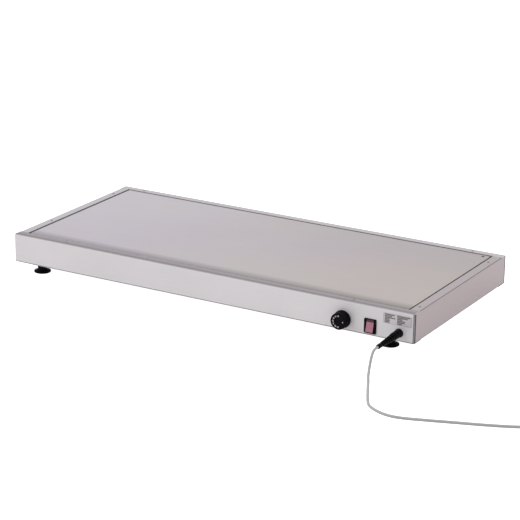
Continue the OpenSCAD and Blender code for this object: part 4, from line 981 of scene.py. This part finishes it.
for corner_name in ("front_left", "front_right", "rear_left", "rear_right"):
    body = "foot_" + corner_name
    low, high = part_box(corner_name + "_foot")
    axis = Matrix.Translation((*middle(corner_name + "_foot")[:2], 0))
    base_r = (high.x - low.x) / 2
    foot = lathe(corner_name + "_base", [
        (0, 0.0010), (base_r * 0.62, 0.0010), (base_r * 0.66, 0.0002), (base_r * 0.90, 0),
        (base_r - 0.0007, 0.0003), (base_r - 0.0002, 0.0007), (base_r, 0.0012),
        (base_r, 0.0030), (base_r - 0.0003, 0.0035), (base_r - 0.0009, 0.0037),
        (neck_r + 0.0032, 0.0052), (neck_r + 0.0012, 0.0062), (neck_r + 0.0003, 0.0070),
        (neck_r, 0.0082), (neck_r, high.z - 0.0006), (neck_r - 0.0006, high.z),
        (bore + 0.0005, high.z), (bore, high.z - 0.0005), (bore, 0.005), (0, 0.005)], 96)
    foot.transform(axis)
    piece(corner_name + "_base", foot, body, rubber, [corner_name + "_foot"])
    low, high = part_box(corner_name + "_stud")
    rod = threaded(corner_name + "_rod", stud_r, stud_pitch, stud_depth, low.z, high.z)
    rod.transform(axis)
    piece(corner_name + "_rod", rod, body, zinc, [corner_name + "_stud"])

# ---- thermostat
# Bulb thermostat in a cream moulded body, screwed behind the front panel, with two push-on tabs
# and a steel shaft that comes out through the panel.
cream = surface("cream_moulding", ((0.60, 0.56, 0.46), (0.70, 0.66, 0.55)), 500,
                (0.45, 0.60), 0.00002, specular=0.4, blotches=50.0)
# Painted shade on the moulding's rounded edges.
cream_edge_shade_tone = (0.85, 0.84, 0.80)
toned_by(cream, bend_group, cream_edge_shade_tone)
tab_brass = surface("tab_brass", (brass_tone, (0.60, 0.46, 0.22)), 600,
                    (0.28, 0.42), 0.00001, metallic=1.0, blotches=120.0)
turned_steel = surface("turned_steel", ((0.34, 0.335, 0.33), (0.46, 0.455, 0.45)),
                       (300, 2500, 300), (0.22, 0.34), 0.000008, metallic=1.0, blotches=60.0)
dress("thermostat_body", cream)
dress("thermostat_screws", zinc)
dress("thermostat_tabs", tab_brass)
dress("dial_shaft", turned_steel)

# ---- dial
# Fluted dial moulded in black thermoset, pushed on the thermostat's shaft. Its scale runs from 30
# to 90 in plain white figures, and a white spot marks where it is off.
moulding = surface("black_moulding", ((0.0018, 0.0013, 0.0022), (0.0036, 0.0028, 0.0044)),
                   700, (0.26, 0.40), 0.000012, specular=0.04, blotches=70.0)
dial_low, dial_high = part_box("dial_knob")
dial_x, dial_z = middle("dial_knob")[::2]
dial_h = dial_high.y - dial_low.y
dial_r = (dial_high.x - dial_low.x) / 2
grip_r = dial_r - 0.0012
foot_top = 0.0035
flutes = 30
flute_r = 0.0011
flute_sunk = 0.00075
hub_r = 0.007
shaft_hole = 0.00305


def out_to_front(x, y, z):
    """Turns what is built up along Z out to the front, from this point"""
    return Matrix.Translation((x, y, z)) @ Matrix.Rotation(math.pi / 2, 4, "X")


def fluted(radius, height, angle):
    """The grip's radius with its flutes cut in, above the dial's foot"""
    if height < foot_top + 0.0003 or radius < grip_r - 0.0022:
        return radius
    off = (angle + math.pi / flutes) % (math.tau / flutes) - math.pi / flutes
    centre = grip_r - flute_sunk + flute_r
    across = centre * math.sin(off)
    if abs(across) >= flute_r:
        return radius
    return min(radius, centre * math.cos(off) - math.sqrt(flute_r ** 2 - across ** 2))


face_z = dial_h - 0.0010
dial = lathe("dial", [
    (0, face_z), (0.0013, face_z), (0.0015, face_z - 0.0003), (0.0017, face_z),
    (0.0135, face_z), (0.0139, face_z + 0.0002), (0.0144, dial_h - 0.0001),
    (0.0148, dial_h), (0.0160, dial_h), (0.0166, dial_h - 0.0002), (0.0172, dial_h - 0.0007),
    (0.0177, dial_h - 0.0013), (grip_r, dial_h - 0.0020), (grip_r, foot_top + 0.0006),
    (grip_r, foot_top + 0.0002), (grip_r + 0.0002, foot_top), (dial_r - 0.0004, foot_top - 0.0003),
    (dial_r, foot_top - 0.0008), (dial_r, 0.0003), (dial_r - 0.0003, 0), (grip_r - 0.003, 0),
    (grip_r - 0.003, dial_h - 0.004), (hub_r, dial_h - 0.004), (hub_r, 0.002),
    (shaft_hole, 0.002), (shaft_hole, dial_h - 0.003), (0, dial_h - 0.003)], 360, shaped=fluted)
on_panel = out_to_front(dial_x, dial_high.y, dial_z)
dial.transform(on_panel)
piece("dial", dial, "dial", moulding, ["dial_knob"])

white_print = surface("white_print", ((0.62, 0.62, 0.62), (0.78, 0.78, 0.78)),
                      900, (0.50, 0.65), 0.00001, specular=0.3, blotches=150.0)
figure_h = 0.0030
figure_r = 0.0117
figure_t = 0.00004
figure_swell = 0.00008 # how much bolder the figures are; from 0.0001 on they break up
capital_share = 0.73 # height of a figure as a share of its type's size
first_figure = 90 # degrees anticlockwise from the right, where the scale's lowest figure stands
figure_step = 30

shape = bmesh.new()
for k, figure in enumerate(range(30, 100, 10)):
    letters = bpy.data.curves.new("figure", "FONT")
    letters.body = str(figure)
    letters.size = figure_h / capital_share
    letters.align_x = letters.align_y = "CENTER"
    letters.extrude = figure_t
    letters.offset = figure_swell
    mesh = frozen(stand("figure", letters))
    angle = math.radians(first_figure + k * figure_step)
    mesh.transform(Matrix.Rotation(angle, 4, "Z") @ Matrix.Translation((figure_r, 0, face_z))
                   @ Matrix.Rotation(-math.pi / 2, 4, "Z"))
    shape.from_mesh(mesh)
bmesh.ops.remove_doubles(shape, verts=shape.verts, dist=0.000001)
spot = lathe("spot", [(0, figure_t), (0.0009, figure_t), (0.0011, 0), (0, -figure_t)], 32)
spot.transform(Matrix.Translation((figure_r - 0.001, 0, face_z)))
shape.from_mesh(spot)
printed = as_mesh("dial_figures", shape)
printed.transform(on_panel)
piece("dial_figures", printed, "dial", white_print)

# ---- switch
# Panel rocker switch: a black moulded housing snapped into its cut-out, with brass tabs behind,
# and a rocker in translucent red. At rest its upper end is pressed in, where no light gets to it:
# its face below that is painted in a lit pink red, and the upper end and the sides in a
# painted-shade dark red.
panel_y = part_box("front_panel")[0].y
bezel_edge = 0.0005
rocker_edge = 0.0006


def on_the_bezel(edge):
    """True for the edges of the bezel's front face and of its mouth"""
    return all(v.co.y < panel_y - 0.0015 for v in edge.verts)


rounded("switch_bezel", "switch_housing", "case", moulding, bezel_edge, 3,
        on_the_bezel)
dress("switch_tabs", tab_brass)

# The rocker's own dark red is painted shade, and the lit pink red over its face is painted light.
red_lens = surface("red_lens", ((0.040, 0.006, 0.014), (0.060, 0.010, 0.022)),
                   400, (0.22, 0.34), 0.00001, blotches=90.0)
rocker_x, rocker_z = middle("switch_rocker")[::2]
lit_red = (0.420, 0.165, 0.225)
lit_over = 0.0078 # how far above the rocker's middle the painted light on its face reaches
lit = band(red_lens, to_front, upward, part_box("switch_rocker")[0].z, rocker_z + lit_over)
toned(red_lens, lit, lit_red, "MIX")
rocker_half = 0.0085


def on_the_rocker(edge):
    """True for the rocker's long edges, and not for those of its pins"""
    return all(abs(v.co.x - rocker_x) < rocker_half + 0.0001 for v in edge.verts) \
        and edge.calc_length() > 0.004


rounded("red_rocker", "switch_rocker", "rocker", red_lens, rocker_edge, 3,
        on_the_rocker)

# ---- wiring
# Heat-proof sleeved wires from the cord's cores to the switch, the thermostat, the element and
# the earth stud, which stands on the case's bottom flange with its ring terminal and nut.
earth_yellow = (0.62, 0.50, 0.03)
for node_name, tones in (("live_wires", ((0.115, 0.050, 0.022), (0.160, 0.075, 0.034))),
                         ("neutral_wires", ((0.022, 0.080, 0.300), (0.036, 0.115, 0.390))),
                         ("earth_wire", ((0.095, 0.240, 0.035), (0.130, 0.300, 0.050)))):
    sleeve = surface(node_name, tones, 600, (0.38, 0.50), 0.00002, blotches=80.0)
    if node_name == "earth_wire":
        stripes = place(sleeve.node_tree, "ShaderNodeTexWave",
                        {"Vector": where_in(sleeve.node_tree), "Scale": 110.0},
                        bands_direction="DIAGONAL")
        half = reckon(sleeve.node_tree, "GREATER_THAN", stripes.outputs["Fac"], 0.5)
        toned(sleeve, half, earth_yellow, "MIX")
    dress(node_name, sleeve)

stud_low, stud_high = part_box("earth_stud")
post_r = 0.0020
ring_low = stud_low.z + 0.0012
ring_r = (stud_high.x - stud_low.x) / 2
washer_z = ring_low + 0.0050
nut_z = ring_low + 0.0060
earth = skinned("earth_post", [
    circle(0, stud_low.z), circle(post_r, stud_low.z), circle(post_r, ring_low),
    circle(ring_r, ring_low), circle(ring_r, ring_low + 0.0024),
    circle(ring_r - 0.0012, ring_low + 0.0026), circle(ring_r - 0.0012, ring_low + 0.0036),
    circle(ring_r - 0.0002, ring_low + 0.0038), circle(ring_r - 0.0002, washer_z),
    circle(ring_r - 0.0008, washer_z), circle(ring_r - 0.0008, nut_z),
    *hex_rings(small_nut_flats, nut_z, nut_z + nut_h), circle(post_r, nut_z + nut_h),
    circle(post_r, stud_high.z - 0.0004), circle(0.0016, stud_high.z), circle(0, stud_high.z)])
earth.transform(Matrix.Translation((*middle("earth_stud")[:2], 0)))
piece("earth_post", earth, "case", tab_brass, ["earth_stud"])

# ---- rating plate
# Thin silver foil plate stuck beside the switch, with rounded corners. It carries no words: a
# fine border and rows of plain printed bars stand where a form's lines would be.
foil = surface("silver_foil", ((0.46, 0.435, 0.452), (0.54, 0.512, 0.530)), 500,
               (0.42, 0.55), 0.000006, metallic=0.6, specular=0.4, blotches=40.0)
foil_low, foil_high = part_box("rating_plate")
foil_corner = 0.0018


def upright_edge(edge):
    """True for the plate's four corners, whose edges run from its back to its face"""
    a, b = (v.co for v in edge.verts)
    return abs(a.x - b.x) < 0.00001 and abs(a.z - b.z) < 0.00001


rounded("blank_plate", "rating_plate", "case", foil, foil_corner, 6, upright_edge)

ruled_ink = surface("ruled_ink", ((0.120, 0.105, 0.112), (0.180, 0.160, 0.170)),
                    900, (0.55, 0.70), 0.000005, specular=0.3, blotches=150.0)
rule_t = 0.00003
rule_w = 0.0003
margin = 0.0012
bar_h = 0.055 # half the height of a bar, as a share of the form's height
left_column = (0.04, 0.42)
right_column = (0.49, 0.96)
bar_rows = (0.90, 0.74, 0.58, 0.42, 0.26, 0.10)
left_bars = (0.95, 0.70, 1.00, 0.45, 0.50, 0.45) # lengths, as shares of the column's width
right_bars = (1.00, 0.80, 0.40, 0.62, 0.55, 0.38)


def rule(shape, x0, x1, z0, z1):
    """A thin printed bar on the plate's face, in shares of the space inside its border"""
    w = foil_high.x - foil_low.x - 2 * margin
    h = foil_high.z - foil_low.z - 2 * margin
    x0, x1 = (foil_low.x + margin + w * x for x in (x0, x1))
    z0, z1 = (foil_low.z + margin + h * z for z in (z0, z1))
    x0, x1 = (x0 - rule_w / 2, x1 + rule_w / 2)
    z0, z1 = (z0 - rule_w / 2, z1 + rule_w / 2)
    y0, y1 = foil_low.y - rule_t, foil_low.y + rule_t
    made = bmesh.ops.create_cube(shape, size=1.0)
    bmesh.ops.scale(shape, vec=(x1 - x0, y1 - y0, z1 - z0), verts=made["verts"])
    bmesh.ops.translate(shape, vec=((x0 + x1) / 2, (y0 + y1) / 2, (z0 + z1) / 2),
                        verts=made["verts"])


shape = bmesh.new()
for z in (0, 1):
    rule(shape, 0, 1, z, z)
for x in (0, 1):
    rule(shape, x, x, 0, 1)
for (start, end), lengths in ((left_column, left_bars), (right_column, right_bars)):
    for z, length in zip(bar_rows, lengths):
        rule(shape, start, start + (end - start) * length, z - bar_h, z + bar_h)
piece("ruled_form", as_mesh("ruled_form", shape), "case", ruled_ink)

# ---- cord entry
# Moulded strain relief of black rubber: a smooth body out of the panel, six ribs that let it bend,
# and a collar. A plastic nut holds it from inside.
relief_low, relief_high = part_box("strain_relief")
relief_x, relief_z = middle("strain_relief")[::2]
relief_l = panel_y - relief_low.y
relief_r = 0.0085
relief_back = relief_high.y - panel_y
smooth_l = 0.030
rib_count = 6
rib_pitch = 0.008
rib_first = relief_r - 0.0012
rib_last = 0.0053
collar_r = 0.0049

# Geometry nodes: rings set along Z, each a little smaller than the last, in one finish
rib_tree, given = geometry(
    "ribs_in_a_row", [("Count", "Int"), ("Start", "Float"), ("Pitch", "Float"),
                      ("First Radius", "Float"), ("Last Radius", "Float"), ("Rib", "Object"),
                      ("Finish", "Material")], "Ribs")
start = place(rib_tree, "ShaderNodeCombineXYZ", {"Z": given["Start"]})
step = place(rib_tree, "ShaderNodeCombineXYZ", {"Z": given["Pitch"]})
row = place(rib_tree, "GeometryNodeMeshLine",
            {"Count": given["Count"], "Start Location": start.outputs[0],
             "Offset": step.outputs[0]})
index = place(rib_tree, "GeometryNodeInputIndex").outputs[0]
last = reckon(rib_tree, "SUBTRACT", given["Count"], 1)
size = ranged(rib_tree, index, 0.0, last, given["First Radius"], given["Last Radius"])
grow = place(rib_tree, "ShaderNodeCombineXYZ", {"X": size, "Y": size, "Z": 1.0})
put_out(rib_tree, given, given["Rib"], {"Points": row.outputs[0], "Scale": grow.outputs[0]})


def ribs(name, count, start, pitch, first, last, width, finish):
    """Round-edged ribs in a row along Z, on a rib of radius 1 with a hollow middle"""
    soft = width * 0.24
    rib = lathe(name + "_rib", [
        (0.55, -width / 2), (1 - 0.075, -width / 2), (1 - 0.02, -width / 2 + soft * 0.35),
        (1, -width / 2 + soft), (1, width / 2 - soft), (1 - 0.02, width / 2 - soft * 0.35),
        (1 - 0.075, width / 2), (0.55, width / 2)], 48, closed=True)
    return grown(name, rib_tree, bpy.data.meshes.new(name), {
        "Count": count, "Start": start, "Pitch": pitch, "First Radius": first,
        "Last Radius": last, "Rib": rib, "Finish": finish})


def joined(name, meshes, material):
    """One mesh out of several bodies, in one finish"""
    shape = bmesh.new()
    for mesh in meshes:
        shape.from_mesh(mesh)
    for face in shape.faces:
        face.material_index = 0
    return finished(as_mesh(name, shape), material)


ribs_end = smooth_l + rib_count * rib_pitch
core = lathe("relief_core", [
    (0, -relief_back), (relief_r - 0.0014, -relief_back),
    (relief_r - 0.0010, -relief_back + 0.0004),
    (relief_r - 0.0010, 0), (relief_r + 0.0008, 0), (relief_r + 0.0010, 0.0002),
    (relief_r + 0.0010, 0.0018), (relief_r + 0.0006, 0.0024), (relief_r, 0.0032),
    (relief_r, smooth_l - 0.006), (relief_r - 0.0003, smooth_l - 0.002),
    (relief_r - 0.0010, smooth_l), (rib_first - 0.0016, smooth_l + 0.001),
    (rib_last - 0.0016, ribs_end), (collar_r - 0.0009, ribs_end + 0.001),
    (collar_r - 0.0009, ribs_end + 0.0040), (collar_r - 0.0003, ribs_end + 0.0045),
    (collar_r, ribs_end + 0.0052), (collar_r, relief_l - 0.0014),
    (collar_r - 0.0004, relief_l - 0.0005), (collar_r - 0.0012, relief_l), (0, relief_l)], 64)
rib_row = ribs("relief_ribs", count=rib_count, start=smooth_l + 0.0055, pitch=rib_pitch,
               first=rib_first, last=rib_last, width=0.0042, finish=rubber)
boot = joined("ribbed_relief", [core, rib_row], rubber)
boot.transform(out_to_front(relief_x, panel_y, relief_z))
piece("ribbed_relief", boot, "case", rubber, ["strain_relief"])

gland_bore_r = relief_r - 0.0009
gland_flats = 0.0198
gland_low, gland_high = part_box("gland_nut")
gland = hex_nut("relief_nut", gland_bore_r, gland_flats, gland_high.y - gland_low.y)
gland.transform(Matrix.Translation((relief_x, gland_low.y, relief_z))
                @ Matrix.Rotation(-math.pi / 2, 4, "X"))
piece("relief_nut", gland, "case", moulding, ["gland_nut"])

# ---- cord
# Round three-core cord, 6 mm across in a light grey sheath. It drops to the table, runs forwards
# and away to the right, and what the photo doesn't show is wound in a tied coil of two layers.
cord_r = 0.003
cord_exit = Vector((0.466, -0.310, 0.037))
route = [(0, 0, 0), (0, -8, 0), (0.6, -16, -1), (1.6, -24, -4.5), (2.7, -30.5, -10),
         (3.5, -35.5, -16.5), (4.4, -40, -23), (6.2, -46, -29), (9, -53, -32.8),
         (12.6, -61, -34), (18, -73, -34), (30, -96, -34), (53, -142, -34), (76, -186, -34),
         (90, -206, -34), (113, -221, -34), (140, -229, -34), (168, -227, -34),
         (214, -212, -34), (264, -194, -34), (314, -176, -34), (360, -157, -34),
         (394, -140, -33.5), (414, -130, -33), (430, -118, -33)]
route = [cord_exit + Vector(p) / 1000 for p in route]
cord_step = 0.005
coil_r = 0.043
coil_turns = 5.25
coil_rings = 48
turn_step = 0.0067
tail_l = 0.034
plug_r = 0.0185


def curved(route, step):
    """Points about a step apart on a smooth curve through a route"""
    points = []
    for i in range(len(route) - 1):
        a, b = route[max(i - 1, 0)], route[i]
        c, d = route[i + 1], route[min(i + 2, len(route) - 1)]
        count = max(1, round((c - b).length / step))
        for t in (k / count for k in range(count)):
            points.append(0.5 * (2 * b + (c - a) * t + (2 * a - 5 * b + 4 * c - d) * t ** 2
                                 + (3 * b - a - 3 * c + d) * t ** 3))
    return points + [route[-1]]


def swept(name, path, radius, steps):
    """A round tube along a path, its rings turned no more than the path turns"""
    rings = [[path[0]]]
    across = Vector((0, 0, 1))
    for i, point in enumerate(path):
        along = (path[min(i + 1, len(path) - 1)] - path[max(i - 1, 0)]).normalized()
        across = (across - across.dot(along) * along).normalized()
        side = along.cross(across)
        rings.append([point + radius * (math.cos(math.tau * k / steps) * across
                                        + math.sin(math.tau * k / steps) * side)
                      for k in range(steps)])
    return skinned(name, rings + [[path[-1]]])


way = (route[-1] - route[-2]).normalized()
left = Vector((-way.y, way.x, 0))
coil_centre = route[-1] + 2 * cord_r * way + coil_r * left
coil_start = math.atan2(-left.y, -left.x)
coil = []
for k in range(round(coil_turns * coil_rings) + 1):
    turn = k / coil_rings
    t = min(1, max(0, (turn - coil_turns / 2 + 0.25) / 0.5))
    reach = coil_r - turn_step * min(turn, coil_turns - turn)
    angle = coil_start + math.tau * turn
    coil.append(coil_centre + Vector((reach * math.cos(angle), reach * math.sin(angle),
                                      turn_step * t * t * (3 - 2 * t))))
angle = coil_start + math.tau * coil_turns
plug_way = Vector((-math.sin(angle), math.cos(angle), 0))
plug_at = Vector((coil[-1].x, coil[-1].y, plug_r)) + tail_l * plug_way
tail = []
for k in range(1, 13):
    t = k / 12
    tail.append(coil[-1] + t * (tail_l - 2 * cord_r) * plug_way
                + Vector((0, 0, (plug_r - coil[-1].z) * t * t * (3 - 2 * t))))
cord_path = curved(route, cord_step) + coil + tail + [plug_at]

grey_sheath = surface("grey_sheath", ((0.400, 0.395, 0.400), (0.480, 0.475, 0.480)),
                      500, (0.40, 0.52), 0.00003, specular=0.4, blotches=30.0)
cord = piece("supply_cord", swept("supply_cord", cord_path, cord_r, 20), "case",
             grey_sheath, ["mains_cord", "cord_coil"])

# ---- coil tie
# Flat band of black plastic, closed once round all the turns of the coil to hold them together.
# The coil lies where the photo no longer shows the cord.
tie_edge = 0.0003
band = surface("tie_band", ((0.010, 0.010, 0.011), (0.018, 0.018, 0.020)), (1200, 200, 1200),
               (0.45, 0.60), 0.00004, specular=0.35, blotches=60.0)
tie = rounded("coil_band", "coil_tie", "case", band, tie_edge, 2)

# ---- plug
# Round two-pin plug moulded on the cord's end in the same grey. It has a ribbed grip behind its
# disc, and bare metal pins.
sleeve_l = 0.020
grip_l = 0.024
disc_l = 0.015
grip_end = sleeve_l + grip_l
body = lathe("plug_core", [
    (0, 0), (cord_r + 0.0008, 0), (cord_r + 0.0012, 0.0005), (cord_r + 0.0022, sleeve_l - 0.006),
    (cord_r + 0.0030, sleeve_l - 0.003), (cord_r + 0.0045, sleeve_l),
    (plug_r - 0.0080, sleeve_l + 0.0030), (plug_r - 0.0058, sleeve_l + 0.0058),
    (plug_r - 0.0055, sleeve_l + 0.0070), (plug_r - 0.0048, grip_end - 0.0060),
    (plug_r - 0.0035, grip_end - 0.0025), (plug_r - 0.0015, grip_end + 0.0003),
    (plug_r - 0.0004, grip_end + 0.0011), (plug_r, grip_end + 0.0020),
    (plug_r, grip_end + disc_l - 0.0014), (plug_r - 0.0004, grip_end + disc_l - 0.0004),
    (plug_r - 0.0012, grip_end + disc_l), (0, grip_end + disc_l)], 96)
grip_ribs = ribs("plug_ribs", count=5, start=sleeve_l + 0.0085, pitch=0.0026,
                 first=plug_r - 0.0049, last=plug_r - 0.0043, width=0.0013, finish=grey_sheath)
on_cord = Matrix.Translation(plug_at) @ plug_way.to_track_quat("Z", "Y").to_matrix().to_4x4()
plug = joined("moulded_plug", [body, grip_ribs], grey_sheath)
plug.transform(on_cord)
plug = piece("moulded_plug", plug, "case", grey_sheath, ["plug_body"])
pin_metal = surface("pin_metal", ((0.42, 0.40, 0.36), (0.54, 0.52, 0.47)), 900,
                    (0.20, 0.32), 0.000006, metallic=1.0, blotches=150.0)
dress("plug_pins", pin_metal)

# ---- size
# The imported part's box and the finished model's, kept side by side.
size = {"cad": [list(corner) for corner in cad_box],
        "visual": [list(corner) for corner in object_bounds()]}
